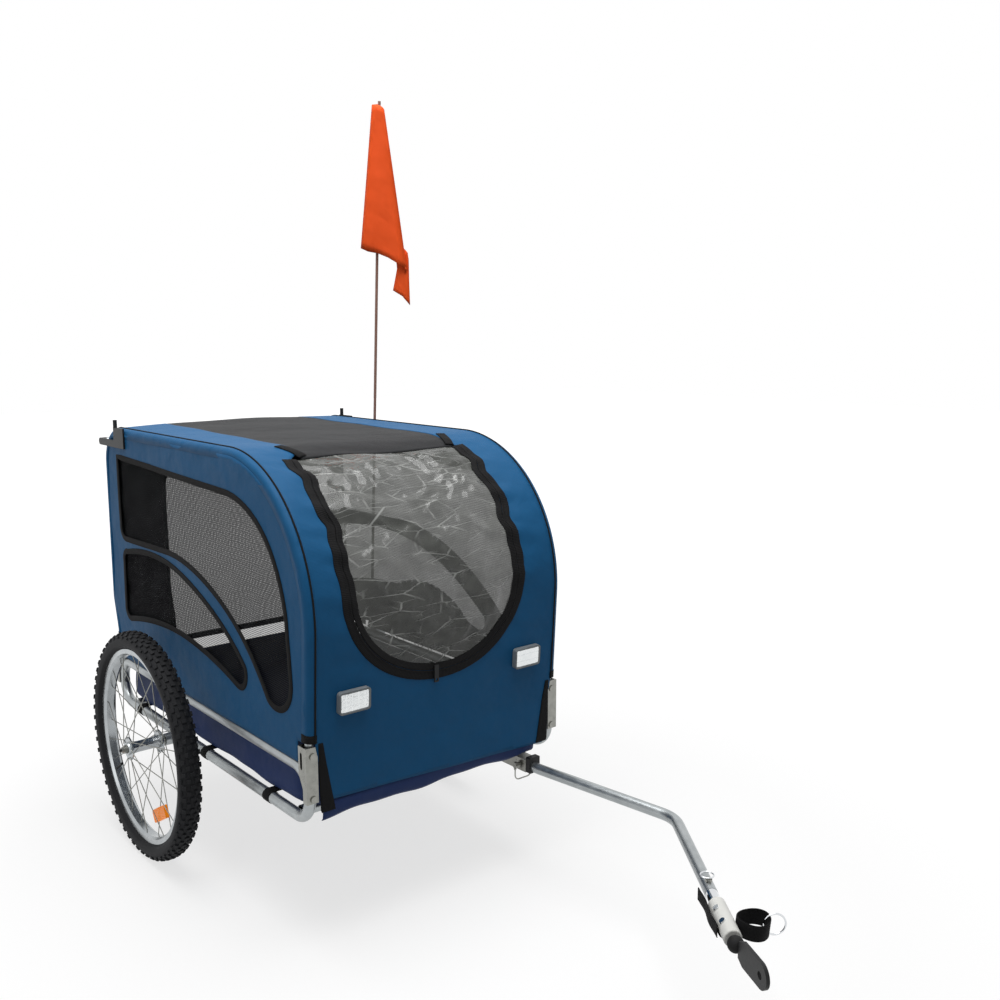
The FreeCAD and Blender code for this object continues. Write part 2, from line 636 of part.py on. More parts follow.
# Hoops
def hoop_corners(step):
    """A hoop's corners in (along, up) and their bends; the left hoop's rear leg steps back."""
    foot = size("pivot_height") - size("hoop_radius")
    top = size("hoop_top")
    rise = top - size("pivot_height")
    nose = FRONT - rise * math.tan(math.radians(size("hoop_lean")))
    heel = FRONT + size("hoop_radius") * math.tan(math.radians(size("hoop_lean")))
    corners = [(heel, foot), (nose, top), (REAR + step, top)]
    bends = [size("hoop_front_bend"), size("hoop_rear_bend")]
    if step:
        corners += [(REAR + step, size("nest_high")), (REAR, size("nest_low"))]
        bends += [size("nest_bend"), size("nest_bend")]
    return corners + [(REAR, foot)], bends


def round_foot(bar, middle):
    """Trim a leg's foot round about its pivot and bore it for the rivet."""
    radius = size("hoop_radius")
    reach = 3 * radius
    span = V(0, reach, 0)
    below = box(middle - V(reach, reach, reach), middle + V(reach, reach, 0))
    bar = bar.cut(below.cut(rod(radius, middle - span * 2, middle + span * 2)))
    return bar.cut(rod(size("rivet_radius") + RUN, middle - span, middle + span))


def hoop(side_name, side):
    corners, bends = hoop_corners(size("nest_step") if side > 0 else 0)
    points = [V(side * HALF, along, up) for along, up in corners]
    bar = tube(points, bends, size("hoop_radius"), size("hoop_wall"))
    for ahead in (FRONT, REAR):
        bar = round_foot(bar, V(side * HALF, ahead, size("pivot_height")))
    solid(side_name + "_hoop", bar)


for side_name, side in SIDES:
    hoop(side_name, side)


# Cabin cover
def cover_corners(inset):
    """The cover's outline from the front skirt over the roof to the rear hem, drawn in by inset."""
    lean = math.radians(size("hoop_lean"))
    nose = hoop_corners(0)[0][1][0]
    out = COVER - inset
    skirt = FRONT - RAIL - GAP - CLOTH + inset
    corners = [
        (skirt, size("skirt_middle") - 5),
        (skirt, size("hem_height")),
        (nose - out * math.tan(lean) - out / math.cos(lean), size("hoop_top") + out),
        (REAR_LEG + out, size("hoop_top") + out),
        (REAR_LEG + out, size("nest_high")),
        (REAR + out, size("nest_low")),
        (REAR + out, size("hem_height")),
    ]
    bends = [size("nest_bend"), size("hoop_front_bend") + out, size("hoop_rear_bend") + out,
             size("nest_bend"), size("nest_bend")]
    return corners, bends


def side_wire(corners, bends, across):
    return rounded_path([V(across, along, up) for along, up in corners], bends)


def closed_face(wire):
    ends = [wire.OrderedVertexes[0].Point, wire.OrderedVertexes[-1].Point]
    return Part.Face(Part.Wire(wire.Edges + [Part.LineSegment(ends[1], ends[0]).toShape()]))


PANEL_IN = HALF + size("hoop_radius") + GAP
NOTCHES = [bracket_box(side, ahead, FLANGE_OUT, size("rivet_head_thick") + 1)
           for side, ahead in CORNERS]


def notched(shape):
    """Cut the cloth clear of the hinge brackets."""
    for notch in NOTCHES:
        shape = shape.cut(notch)
    return max(shape.Solids, key=lambda piece: piece.Volume)


def cover_sheet():
    """The cloth over front, roof and rear as one sheet between the two side panels."""
    across = PANEL_IN - GAP
    outer = side_wire(*cover_corners(0), -across)
    inner = side_wire(*cover_corners(CLOTH), -across)
    ends = [(wire.OrderedVertexes[0].Point, wire.OrderedVertexes[-1].Point) for wire in (outer, inner)]
    caps = [Part.LineSegment(first, last).toShape() for first, last in zip(*ends)]
    band = Part.Face(Part.Wire(Part.__sortEdges__(outer.Edges + inner.Edges + caps)))
    return notched(band.extrude(V(2 * across, 0, 0)))


def door_prism(inset):
    """The door's outline, drawn in by inset and carried right through the front."""
    half = DOOR_HALF - inset
    low = size("door_low") + inset
    spring = size("door_low") + size("door_round")
    far = AHEAD
    shoulder = math.sqrt(0.5)
    ends = [V(-half, far, COVER_TOP + 1), V(half, far, COVER_TOP + 1)]
    feet = [V(-half, far, spring), V(half, far, spring), V(0, far, low)]
    drop = spring - low
    cheeks = [V(side * half * shoulder, far, spring - drop * shoulder) for _, side in SIDES]
    tip = 0.38
    toes = [V(side * half * tip, far, spring - drop * math.sqrt(1 - tip ** 2)) for _, side in SIDES]
    edges = [
        Part.LineSegment(ends[0], feet[0]).toShape(),
        Part.Arc(feet[0], V(-half * 0.93, far, spring - drop * 0.3676), cheeks[0]).toShape(),
        Part.Arc(cheeks[0], toes[0], feet[2]).toShape(),
        Part.Arc(feet[2], toes[1], cheeks[1]).toShape(),
        Part.Arc(cheeks[1], V(half * 0.93, far, spring - drop * 0.3676), feet[1]).toShape(),
        Part.LineSegment(feet[1], ends[1]).toShape(),
        Part.LineSegment(ends[1], ends[0]).toShape(),
    ]
    return Part.Face(Part.Wire(edges)).extrude(V(0, THROUGH, 0))


def skirt_cutter():
    """Everything below the front skirt's sagging edge."""
    reach = HALF + 2 * RAIL
    far = AHEAD
    low = size("skirt_middle") / 2
    sides = [V(-reach, far, size("skirt_side")), V(reach, far, size("skirt_side"))]
    edges = [
        Part.Arc(sides[0], V(0, far, size("skirt_middle")), sides[1]).toShape(),
        Part.LineSegment(sides[1], V(reach, far, low)).toShape(),
        Part.LineSegment(V(reach, far, low), V(-reach, far, low)).toShape(),
        Part.LineSegment(V(-reach, far, low), sides[0]).toShape(),
    ]
    return Part.Face(Part.Wire(edges)).extrude(V(0, FRONT - AHEAD, 0))


def cover():
    sheet_all = cover_sheet()
    wide = 2 * HALF
    roof_front = -size("roof_front")
    roof_low = COVER_TOP - size("roof_drop")
    high = 2 * COVER_TOP
    ahead = box(V(-wide, AHEAD, 0), V(wide, roof_front - GAP / 2, high))
    over = box(V(-wide, roof_front + GAP / 2, roof_low + GAP / 2), V(wide, THROUGH, high))
    behind = box(V(-wide, 0, 0), V(wide, THROUGH, roof_low - GAP / 2))
    front = sheet_all.common(ahead).cut(skirt_cutter())
    zip_inset = size("zip_width")
    solid("front_cover", front.cut(door_prism(0)).Solids[0])
    tape = front.common(door_prism(GAP)).cut(door_prism(zip_inset))
    solid("door_zip", tape.Solids[0])
    solid("door_window", front.common(door_prism(zip_inset + GAP)).Solids[0])
    solid("roof_cover", sheet_all.common(over).Solids[0])
    solid("rear_cover", sheet_all.common(behind).Solids[0])


cover()


def skirt_surface(height):
    """How far along the cover's outside lies at a height on the front, below the big bend."""
    corners = cover_corners(0)[0]
    (low_along, low), (high_along, high) = corners[1], corners[2]
    share = max(height - low, 0) / (high - low)
    return low_along + (high_along - low_along) * share


# Window outlines as shares of a side panel's length and height: two spots are a line, three an arc
UPPER_WINDOW = [
    [(0.9405, 0.8974), (0.3215, 0.8591)],
    [(0.3215, 0.8591), (0.1374, 0.7375), (0.0561, 0.4254)],
    [(0.0561, 0.4254), (0.0446, 0.2668)],
    [(0.0446, 0.2668), (0.0767, 0.1623), (0.1419, 0.1679)],
    [(0.1419, 0.1679), (0.3364, 0.4291), (0.6327, 0.5560)],
    [(0.6327, 0.5560), (0.9027, 0.5466)],
    [(0.9027, 0.5466), (0.9302, 0.5634), (0.9359, 0.6119)],
    [(0.9359, 0.6119), (0.9405, 0.8974)],
]
LOWER_WINDOW = [
    [(0.9027, 0.4925), (0.5343, 0.4757), (0.2506, 0.2388)],
    [(0.2506, 0.2388), (0.2506, 0.1772), (0.2872, 0.1567)],
    [(0.2872, 0.1567), (0.5995, 0.2444), (0.8913, 0.2015)],
    [(0.8913, 0.2015), (0.9233, 0.2146), (0.9291, 0.2575)],
    [(0.9291, 0.2575), (0.9291, 0.4440)],
    [(0.9291, 0.4440), (0.9233, 0.4813), (0.9027, 0.4925)],
]
PANEL_RISE = size("hoop_top") - size("hem_height")


def window_edges(across):
    """The two window outlines of a side panel, as closed wires of lines and arcs."""
    wires = []
    for outline in (UPPER_WINDOW, LOWER_WINDOW):
        edges = []
        for piece in outline:
            spots = [V(across, FRONT + along * (REAR - FRONT), size("hem_height") + up * PANEL_RISE)
                     for along, up in piece]
            curve = Part.LineSegment(*spots) if len(spots) == 2 else Part.Arc(*spots)
            edges.append(curve.toShape())
        wires.append(Part.Wire(edges))
    return wires


def side_panel(side_name, side):
    """Side cloth with its two windows, and the net behind them inside the hoop."""
    across = side * PANEL_IN
    corners, bends = cover_corners(0)
    panel = closed_face(side_wire(corners[1:], bends[1:], across)).extrude(V(side * CLOTH, 0, 0))
    for wire in window_edges(across):
        panel = panel.cut(Part.Face(wire).extrude(V(side * CLOTH, 0, 0)))
    solid(side_name + "_side_panel", notched(panel))
    reach = size("hoop_radius") + GAP
    back = side * (PANEL_IN - GAP)
    hoop_line, hoop_bends = hoop_corners(0)
    lean = math.radians(size("hoop_lean"))
    nose = hoop_line[1][0] + reach / math.cos(lean) + reach * math.tan(lean)
    lowest = min(up for piece in LOWER_WINDOW for _, up in piece)
    foot = size("hem_height") + lowest * PANEL_RISE - size("window_margin")
    foot_along = FRONT - (foot - size("pivot_height")) * math.tan(lean) + reach / math.cos(lean)
    top = size("hoop_top") - reach
    outline = [(foot_along, foot), (nose, top), (REAR - reach, top), (REAR - reach, foot)]
    net_bends = [hoop_bends[0] - reach, hoop_bends[1] - reach]
    net = closed_face(side_wire(outline, net_bends, back)).extrude(V(-side * size("net_thick"), 0, 0))
    solid(side_name + "_window_net", net)


for side_name, side in SIDES:
    side_panel(side_name, side)


def front_reflectors():
    """Two clear lenses on the front cloth, leaning with it."""
    height = size("lamp_middle")
    corners = cover_corners(0)[0]
    slope = math.atan2(corners[1][0] - corners[2][0], corners[2][1] - corners[1][1])
    lean = FreeCAD.Rotation(V(1, 0, 0), math.degrees(slope))
    lenses = []
    for _, side in SIDES:
        lens = Part.makeBox(size("lamp_width"), size("lamp_thick"), size("lamp_height"),
                            V(-size("lamp_width") / 2, -size("lamp_thick") - GAP, -size("lamp_height") / 2))
        rims = [edge for edge in lens.Edges if edge.BoundBox.YMax < -size("lamp_thick")]
        lens = lens.makeChamfer(size("lamp_thick") / 4, rims)
        spot = V(side * (HALF - size("lamp_margin")), skirt_surface(height), height)
        lens.Placement = FreeCAD.Placement(spot, lean)
        lenses.append(lens)
    solid("front_reflectors", *lenses)


def zip_pull():
    """The zip's pull tab, hanging in front of the cloth below the door."""
    high = size("door_low") + size("zip_width") / 2
    far = skirt_surface(high) - GAP - size("pull_thick")
    half = size("pull_width") / 2
    tab = box(V(size("pull_side") - half, far, high - size("pull_length")),
              V(size("pull_side") + half, far + size("pull_thick"), high))
    hole = rod(half / 2, V(size("pull_side"), far - 5, high - size("pull_length") + half),
               V(size("pull_side"), far + 5, high - size("pull_length") + half))
    solid("zip_pull", tab.cut(hole))


front_reflectors()
zip_pull()


# Floor tub, hung on webbing straps just above the lower rails
TUB_FLOOR = size("lower_rail") + RAIL + GAP / 2 + size("strap_thick") + GAP


def tub_ring(inset, height, taper):
    """A rounded rectangle of the tub at one height."""
    half = TUB_HALF - inset - taper
    front = FRONT + RAIL + 5 + inset + taper / 2
    back = REAR - RAIL - 2 - inset - taper / 2
    corner = size("tub_corner")
    points = [V(0, front, height), V(half, front, height), V(half, back, height), V(-half, back, height),
              V(-half, front, height), V(0, front, height)]
    return rounded_path(points, [corner] * 4)


def floor_tub():
    low = TUB_FLOOR
    high = size("tub_rim")
    wall = size("tub_cloth")
    outer = Part.makeLoft([tub_ring(0, low, size("tub_taper")), tub_ring(0, high, 0)], True, True)
    rings = [tub_ring(wall, low + wall, size("tub_taper")), tub_ring(wall, high + 1, 0)]
    inner = Part.makeLoft(rings, True, True)
    solid("floor_tub", outer.cut(inner))


def floor_strap(side, ahead):
    """Webbing round the lower rail, with a tab under the tub's floor."""
    half = size("strap_width") / 2
    middle = V(side * HALF, ahead, size("lower_rail"))
    span = V(0, half, 0)
    thick = size("strap_thick")
    inside = RAIL + GAP / 2
    band = rod(inside + thick, middle - span, middle + span)
    under = side * (TUB_HALF - size("tub_taper") - size("strap_under"))
    tab_low = V(min(under, middle.x), ahead - half, TUB_FLOOR - GAP - thick)
    tab_high = V(max(under, middle.x), ahead + half, TUB_FLOOR - GAP)
    band = band.fuse(box(tab_low, tab_high)).cut(rod(inside, middle - span * 2, middle + span * 2))
    return max(band.removeSplitter().Solids, key=lambda piece: piece.Volume)


def floor_straps():
    places = (FRONT + 150, FRONT / 4, REAR - 110)
    solid("floor_straps", *[floor_strap(side, ahead) for _, side in SIDES for ahead in places])


floor_tub()
floor_straps()

# Tow bar and its bracket
TOW_ROOT = V(TOW_SIDE, -size("tow_root"), size("tow_height"))
TOW_KINK = V(TOW_SIDE, -size("tow_kink"), size("tow_height"))
PIN = V(TOW_SIDE, -size("pin_ahead"), size("tow_height"))
TOW = size("tow_radius")


def cross_bore(radius, reach):
    return rod(radius, PIN - V(reach, 0, 0), PIN + V(reach, 0, 0))


def tow_bar():
    """A bent tube: straight in its bracket, a slight kink, then an elbow towards the bicycle."""
    points = [TOW_ROOT, TOW_KINK, ELBOW, BAR_END]
    bends = [size("tow_bend"), size("tow_bend")]
    bar = tube(points, bends, TOW, size("tow_wall"))
    bar = bar.cut(cross_bore(size("pin_radius") + RUN, 2 * TOW))
    solid("tow_bar", bar.cut(linch_bore()))


def linch_spot():
    return BAR_END - TOW_WAY * size("linch_back")


def linch_bore():
    spot = linch_spot()
    return rod(size("linch_radius") + RUN, spot - V(0, 0, 2 * TOW), spot + V(0, 0, 2 * TOW))


def tow_bracket():
    """A folded channel under the front cross tube, open below, with the tow bar between its walls."""
    wall = size("channel_wall")
    inner = TOW + GAP
    top = size("lower_rail") - RAIL - GAP
    front = FRONT - RAIL - size("channel_ahead")
    rear = front + size("channel_length")
    low = size("tow_height") - size("channel_drop")
    side = TOW_SIDE
    shell = box(V(side - inner - wall, front, low), V(side + inner + wall, rear, top))
    inside = box(V(side - inner, front - 1, low - 1), V(side + inner, rear + 1, top - wall))
    shell = shell.cut(inside).cut(cross_bore(size("pin_radius") + RUN, 3 * TOW))
    solid("tow_bracket", shell)
    block_low = V(side - inner - wall, front - GAP - size("block_length"), low)
    block_high = V(side + inner + wall, front - GAP, size("tow_height") + size("block_rise"))
    block = box(block_low, block_high)
    long_edges = [edge for edge in block.Edges if edge.BoundBox.YLength > size("block_length") / 2]
    block = block.makeFillet(size("block_round"), long_edges)
    past = V(0, 2 * size("block_length"), 0)
    middle = V(side, front, low + size("channel_drop"))
    mouth = rod(TOW + GAP, middle + past, middle - past)
    solid("tow_block", block.cut(mouth))


def lock_pin():
    """A pin across the bracket with a sprung wire bail that snaps round below the tow bar."""
    reach = TOW + GAP + size("channel_wall") + size("pin_spare")
    wire = size("bail_wire")
    pin = rod(size("pin_radius"), PIN - V(reach + size("pin_head"), 0, 0), PIN + V(reach, 0, 0))
    head = PIN - V(reach + size("pin_head"), 0, 0)
    pin = pin.fuse(rod(1.8 * size("pin_radius"), head, head + V(size("pin_head") - GAP, 0, 0)))
    solid("lock_pin", pin.removeSplitter())
    drop = size("bail_drop")
    right = PIN.x - reach - size("pin_head") / 2
    left = PIN.x + reach + wire + GAP
    start = V(right, PIN.y, PIN.z - 1.8 * size("pin_radius") - GAP / 2 - 2 * wire)
    points = [start, V(right, PIN.y, PIN.z - drop), V(left, PIN.y, PIN.z - drop),
              V(left, PIN.y, PIN.z - size("pin_radius") + 2)]
    bail = pipe(points, [drop / 3, drop / 3], wire).fuse(Part.makeSphere(2 * wire, start))
    solid("lock_bail", bail.removeSplitter())


def hitch():
    """Chromed inner tube, plastic sleeve with two screws, rubber joint and the plate for a wheel axle."""
    start = BAR_END - TOW_WAY * size("chrome_inside")
    cover_end = size("sleeve_end")
    fit = min(size("chrome_radius"), TOW - size("tow_wall") - RUN)
    step = BAR_END + TOW_WAY * GAP
    chrome = rod(fit, start, step)
    chrome = chrome.fuse(rod(size("chrome_radius"), step, SLEEVE_END - TOW_WAY * cover_end))
    solid("hitch_tube", chrome.removeSplitter().cut(linch_bore()))
    sleeve = rod(size("sleeve_radius"), SLEEVE_START, SLEEVE_END)
    bore = rod(size("chrome_radius") + RUN, SLEEVE_START - TOW_WAY, SLEEVE_END - TOW_WAY * (cover_end - GAP))
    ends = [edge for edge in sleeve.Edges if edge.Curve.TypeId == "Part::GeomCircle"]
    sleeve = sleeve.makeFillet(size("sleeve_round"), ends)
    solid("hitch_sleeve", sleeve.cut(bore))
    up = V(0, 0, 1).cross(TOW_WAY)
    face = (up * -0.6 + V(0, 0, 0.8)).normalize()
    screws = []
    for share in (0.3, 0.68):
        spot = SLEEVE_START + TOW_WAY * (share * size("sleeve_length")) + face * (size("sleeve_radius") + GAP)
        screws.append(rod(size("screw_radius"), spot, spot + face * size("screw_proud")))
    solid("sleeve_screws", *screws)
    solid("hitch_joint", Part.makeSphere(size("ball_radius"), JOINT))
    plate()


def plate():
    """A flat bar on edge: a narrow neck at the joint, parallel sides, and a round end with the axle hole."""
    across = V(0, 0, 1).cross(PLATE_WAY).normalize()
    near = size("ball_radius") + GAP
    reach = size("plate_hole_reach")
    half = size("plate_half")
    neck = size("plate_neck")
    shift = across * (-size("plate_thick") / 2)

    def at(along, up):
        return JOINT + PLATE_WAY * along + V(0, 0, up) + shift
    edges = [
        Part.LineSegment(at(near, -neck), at(near, neck)).toShape(),
        Part.LineSegment(at(near, neck), at(near + size("plate_shoulder"), half)).toShape(),
        Part.LineSegment(at(near + size("plate_shoulder"), half), at(reach, half)).toShape(),
        Part.Arc(at(reach, half), at(reach + half, 0), at(reach, -half)).toShape(),
        Part.LineSegment(at(reach, -half), at(near + size("plate_shoulder"), -half)).toShape(),
        Part.LineSegment(at(near + size("plate_shoulder"), -half), at(near, -neck)).toShape(),
    ]
    bar = Part.Face(Part.Wire(edges)).extrude(across * size("plate_thick"))
    bar = bar.cut(rod(size("plate_hole"), PLATE_HOLE - across * 20, PLATE_HOLE + across * 20))
    solid("hitch_plate", bar)


def coupler_pin():
    """A headed pin through the tow bar's end and the hitch's inner tube, with a split ring on its head."""
    spot = linch_spot()
    top = spot + V(0, 0, TOW + GAP)
    pin = rod(size("linch_radius"), spot - V(0, 0, TOW + 8), top)
    head = 2 * size("linch_radius")
    pin = pin.fuse(rod(head, top, top + V(0, 0, 4))).removeSplitter()
    solid("coupler_pin", pin)
    wire = size("ring_wire")
    beside = head + wire + GAP
    middle = top + V(0, 0, 4 + GAP + wire)
    middle = middle - TOW_WAY * (size("ring_radius") - beside + head)
    ring = Part.makeTorus(size("ring_radius"), wire, middle, V(0, 0, 1))
    solid("split_ring", ring)


def safety_strap():
    """A webbing loop beside the sleeve with a wire D-ring at its end."""
    wide = V(0, 0, size("tether_width"))
    left = V(0, 0, 1).cross(TOW_WAY).normalize()
    loop = size("tether_loop")
    thick = size("tether_thick")
    base = SLEEVE_START + TOW_WAY * (size("sleeve_length") * 0.62) - wide * 0.5
    middle = base + left * (size("sleeve_radius") + GAP + loop)
    band = Part.makeCylinder(loop, size("tether_width"), middle)
    band = band.cut(Part.makeCylinder(loop - thick, size("tether_width"), middle))
    solid("safety_strap", band)
    wire = size("tether_wire")
    clear = 0.62 * size("tether_width")
    offset = math.sqrt(clear ** 2 - (size("tether_width") / 2 + GAP) ** 2) - thick / 2 - GAP
    ring_middle = middle + left * (loop - thick / 2 + offset) + wide * 0.5
    solid("strap_ring", Part.makeTorus(clear + wire, wire, ring_middle, TOW_WAY))


tow_bar()
tow_bracket()
lock_pin()
hitch()
coupler_pin()
safety_strap()


# Spreader bar behind the hoops
def spreader_hook(side):
    """A plate on the side panel with a thumb screw on top, and an arm back to a cap on the bar's end."""
    inner = PANEL_IN + CLOTH + GAP
    outer = inner + size("hook_wall")
    low_across, high_across = sorted((side * inner, side * outer))
    high = COVER_TOP + size("hook_proud")
    front = REAR_LEG - size("hook_ahead")
    back = front + size("hook_length")
    arm = size("bar_radius")
    hook = box(V(low_across, front, high - size("hook_height")), V(high_across, back, high))
    hook = hook.fuse(box(V(low_across, front, BAR_HEIGHT - arm), V(high_across, BAR_BACK, BAR_HEIGHT + arm)))
    cap_start = V(side * (HALF + GAP), BAR_BACK, BAR_HEIGHT)
    hook = hook.fuse(rod(arm, cap_start, V(side * outer, BAR_BACK, BAR_HEIGHT)))
    knob = V(side * (inner + outer) / 2, back - 2 * size("knob_radius"), high - size("hook_proud") / 2)
    return hook.fuse(rod(size("knob_radius"), knob, knob + V(0, 0, size("knob_height")))).removeSplitter()


def spreader_bar():
    """A bar across the hoops' rear, held by a hook on the outside of each."""
    cylinder("spreader_bar", "sizes.bar_radius", "2 * sizes.frame_half",
             V(-HALF, BAR_BACK, BAR_HEIGHT), V(1, 0, 0))
    solid("spreader_hooks", *[spreader_hook(side) for _, side in SIDES])


spreader_bar()


# Flag
FLAG_LEAN = FreeCAD.Rotation(V(1, 0, 0), size("flag_lean"))
FLAG_UP = FLAG_LEAN.multVec(V(0, 0, 1))


def flag_spot(up):
    base = V(HALF + RAIL + GAP + size("flag_socket"), size("flag_back"), size("upper_rail"))
    return base + FLAG_UP * ((up - size("upper_rail")) / FLAG_UP.z)


def flag():
    """A fibreglass pole in a socket on the left upper rail."""
    foot = flag_spot(size("flag_low"))
    cylinder("flag_pole", "sizes.flag_radius", "sizes.flag_length", foot, FLAG_UP)
    low = foot - FLAG_UP * (GAP + size("flag_socket_floor"))
    holder = rod(size("flag_socket"), low, low + FLAG_UP * size("flag_socket_length"))
    bore = rod(size("flag_radius") + RUN, foot - FLAG_UP * GAP, foot + FLAG_UP * size("flag_length"))
    solid("flag_socket", holder.cut(bore))
    top = foot + FLAG_UP * (size("flag_length") - size("pennant_below_top"))
    reach = size("flag_radius") + RUN
    sleeve = rod(reach + size("pennant_thick"), top - FLAG_UP * size("pennant_hoist"), top)
    sleeve = sleeve.cut(rod(reach, top - FLAG_UP * (size("pennant_hoist") + 1), top + FLAG_UP))
    front = pennant_fold(top, PENNANT_FRONT)
    solid("pennant", sleeve.fuse([front, pennant_fold(top, PENNANT_TIP)]).removeSplitter())


# The pennant's rows: its left and right edges as (across from the pole, below its top, ahead of the pole's
# middle), and its bend between them as (across, ahead). The front fold crosses before the pole, and the tip
# hangs from its right edge.
PENNANT_FRONT = [
    [(-19.0, 4.0, 1.0), (0.0, 4.25), (5.0, 14.0, 5.0)],
    [(-29.5, 170.0, 1.0), (0.0, 4.25), (33.0, 170.0, 9.0)],
    [(-40.3, 338.0, 1.0), (0.0, 4.25), (74.3, 391.0, 13.0)],
]
PENNANT_TIP = [
    [(30.0, 366.0, 7.8), (51.0, 10.4), (72.0, 380.0, 12.8)],
    [(41.6, 440.0, 6.0), (62.0, 9.0), (83.1, 476.0, 4.0)],
]
PENNANT_OUT = V(0.765, -0.644, 0)
PENNANT_TOWARD = V(-0.644, -0.765, 0)


def pennant_fold(top, table):
    """A loft of thin flat rows through the table's edges and bends."""
    thick = PENNANT_TOWARD * size("pennant_thick")

    def spot(across, below, ahead):
        return top + PENNANT_OUT * across - FLAG_UP * below + PENNANT_TOWARD * ahead
    rows = []
    for left, (across, ahead), right in table:
        share = (across - left[0]) / (right[0] - left[0])
        bend = (across, left[1] + share * (right[1] - left[1]), ahead)
        line = [spot(*left), spot(*bend), spot(*right)]
        rows.append(Part.makePolygon(line + [point + thick for point in reversed(line)] + line[:1]))
    return Part.makeLoft(rows, True, True)


flag()

# Check every piece, then write one file for each
doc.recompute()
os.makedirs("parts", exist_ok=True)
for item in doc.Objects:
    if "Invalid" in item.State or "Error" in item.State:
        raise ValueError(f"{item.Label} failed: {item.State}")
for piece in parts:
    if piece.Shape.isNull() or not piece.Shape.isValid() or not piece.Shape.Solids:
        raise ValueError(f"{piece.Label} has no valid solid")
for piece in parts:
    piece.Shape.exportStep(f"parts/{piece.Label}.step")
print(len(parts), "pieces written")
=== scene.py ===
# %% [markdown]
# # A folding pet trailer for a bicycle
# The trailer is a bent steel tube base with two spoked wheels, two hoops that carry a cloth cabin, a side
# tow bar with a rubber hitch, and an orange pennant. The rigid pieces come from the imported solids. This
# lesson gives them their finishes and makes the soft goods, the tyres and the lenses around them.

# %% Load the solids
import json
import math

import bmesh
import bpy
import numpy as np
from mathutils import Matrix, Vector, noise

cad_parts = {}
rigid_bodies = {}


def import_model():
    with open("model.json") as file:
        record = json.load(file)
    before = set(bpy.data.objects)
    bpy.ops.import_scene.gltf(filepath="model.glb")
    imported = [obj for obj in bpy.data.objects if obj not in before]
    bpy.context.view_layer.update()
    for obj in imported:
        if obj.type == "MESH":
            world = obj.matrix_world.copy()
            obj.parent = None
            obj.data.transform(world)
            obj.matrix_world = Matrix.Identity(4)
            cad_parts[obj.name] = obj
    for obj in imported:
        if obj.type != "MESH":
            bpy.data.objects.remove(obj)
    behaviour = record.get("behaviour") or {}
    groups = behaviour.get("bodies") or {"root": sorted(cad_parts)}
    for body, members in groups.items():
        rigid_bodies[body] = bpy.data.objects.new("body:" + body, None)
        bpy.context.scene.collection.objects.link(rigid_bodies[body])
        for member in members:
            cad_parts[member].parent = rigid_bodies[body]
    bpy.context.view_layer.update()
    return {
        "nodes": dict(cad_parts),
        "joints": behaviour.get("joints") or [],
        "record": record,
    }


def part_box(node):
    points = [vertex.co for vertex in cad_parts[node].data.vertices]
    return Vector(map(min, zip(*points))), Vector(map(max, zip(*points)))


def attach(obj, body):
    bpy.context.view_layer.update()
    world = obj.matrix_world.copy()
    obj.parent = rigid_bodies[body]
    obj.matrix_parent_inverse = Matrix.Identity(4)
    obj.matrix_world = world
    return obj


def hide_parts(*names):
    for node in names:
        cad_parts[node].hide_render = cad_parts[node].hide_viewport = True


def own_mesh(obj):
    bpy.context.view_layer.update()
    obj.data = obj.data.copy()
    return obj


for old in list(bpy.data.objects):
    bpy.data.objects.remove(old)
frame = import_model()
MM = 0.001
axle_spot = Vector(next(j for j in frame["joints"] if j["name"] == "right_wheel_spin")["pos_m"])
TRACK = -axle_spot.x / MM
WHEEL_RADIUS = axle_spot.z / MM
SIDES = (("right", -1), ("left", 1))


def to_row(points):
    """Rows of millimetres about the wheel axle, as the solids were drawn, in the row frame's metres."""
    return np.asarray(points, float) * MM + np.array([0.0, axle_spot.y, 0.0])


def at(x, y, z):
    return Vector(to_row([(x, y, z)])[0])


def put(name, data):
    """A new object in the scene that shows some data."""
    made = bpy.data.objects.new(name, data)
    bpy.context.scene.collection.objects.link(made)
    return made


print(len(frame["nodes"]), "solids, axle", round(axle_spot.y, 4), "m behind the origin")

# %% [markdown]
# The photograph was taken from the right front, a little above the roof. Its lens and place were worked
# out from the wheels and the base tubes, so the camera repeats them and a piece can be compared pixel by
# pixel.

# %% Camera
FOCAL_LENGTH = 38.47
SENSOR_WIDTH = 36
CAMERA_PLACE = (-1193, -2169, 1123)
VIEW_LINE = Vector((0.636, 0.756, -0.1547))
lens = bpy.data.cameras.new("photo_view")
lens.lens = FOCAL_LENGTH
lens.sensor_width = SENSOR_WIDTH
camera = put("photo_view", lens)
camera.location = at(*CAMERA_PLACE)
camera.rotation_euler = VIEW_LINE.to_track_quat("-Z", "Y").to_euler()
bpy.context.scene.camera = camera
bpy.context.scene.view_settings.view_transform = "Standard"
print("camera", tuple(round(c, 3) for c in camera.location))

# %% [markdown]
# Finishes are built from nodes. One helper adds a node with its settings and links, and small ones name
# what is asked of it most: a mix, a span, a noise, a wave or a bump. Colours are written in hex, as they
# are seen on a screen, and turned into the linear values that the shader works in.

# %% Node helpers
WHITE = (1, 1, 1, 1)
WAVE_PERIOD = 2 * math.pi / 20
finish = {}


def linear(code):
    channels = [int(code[i:i + 2], 16) / 255 for i in (1, 3, 5)]
    curve = [c / 12.92 if c <= 0.04045 else ((c + 0.055) / 1.055) ** 2.4 for c in channels]
    return (*curve, 1.0)


def feed(tree, node, sockets):
    """Give a node's sockets plain values, or links from other nodes' sockets."""
    for key, value in sockets.items():
        if isinstance(value, bpy.types.NodeSocket):
            tree.links.new(value, node.inputs[key])
        else:
            node.inputs[key].default_value = value


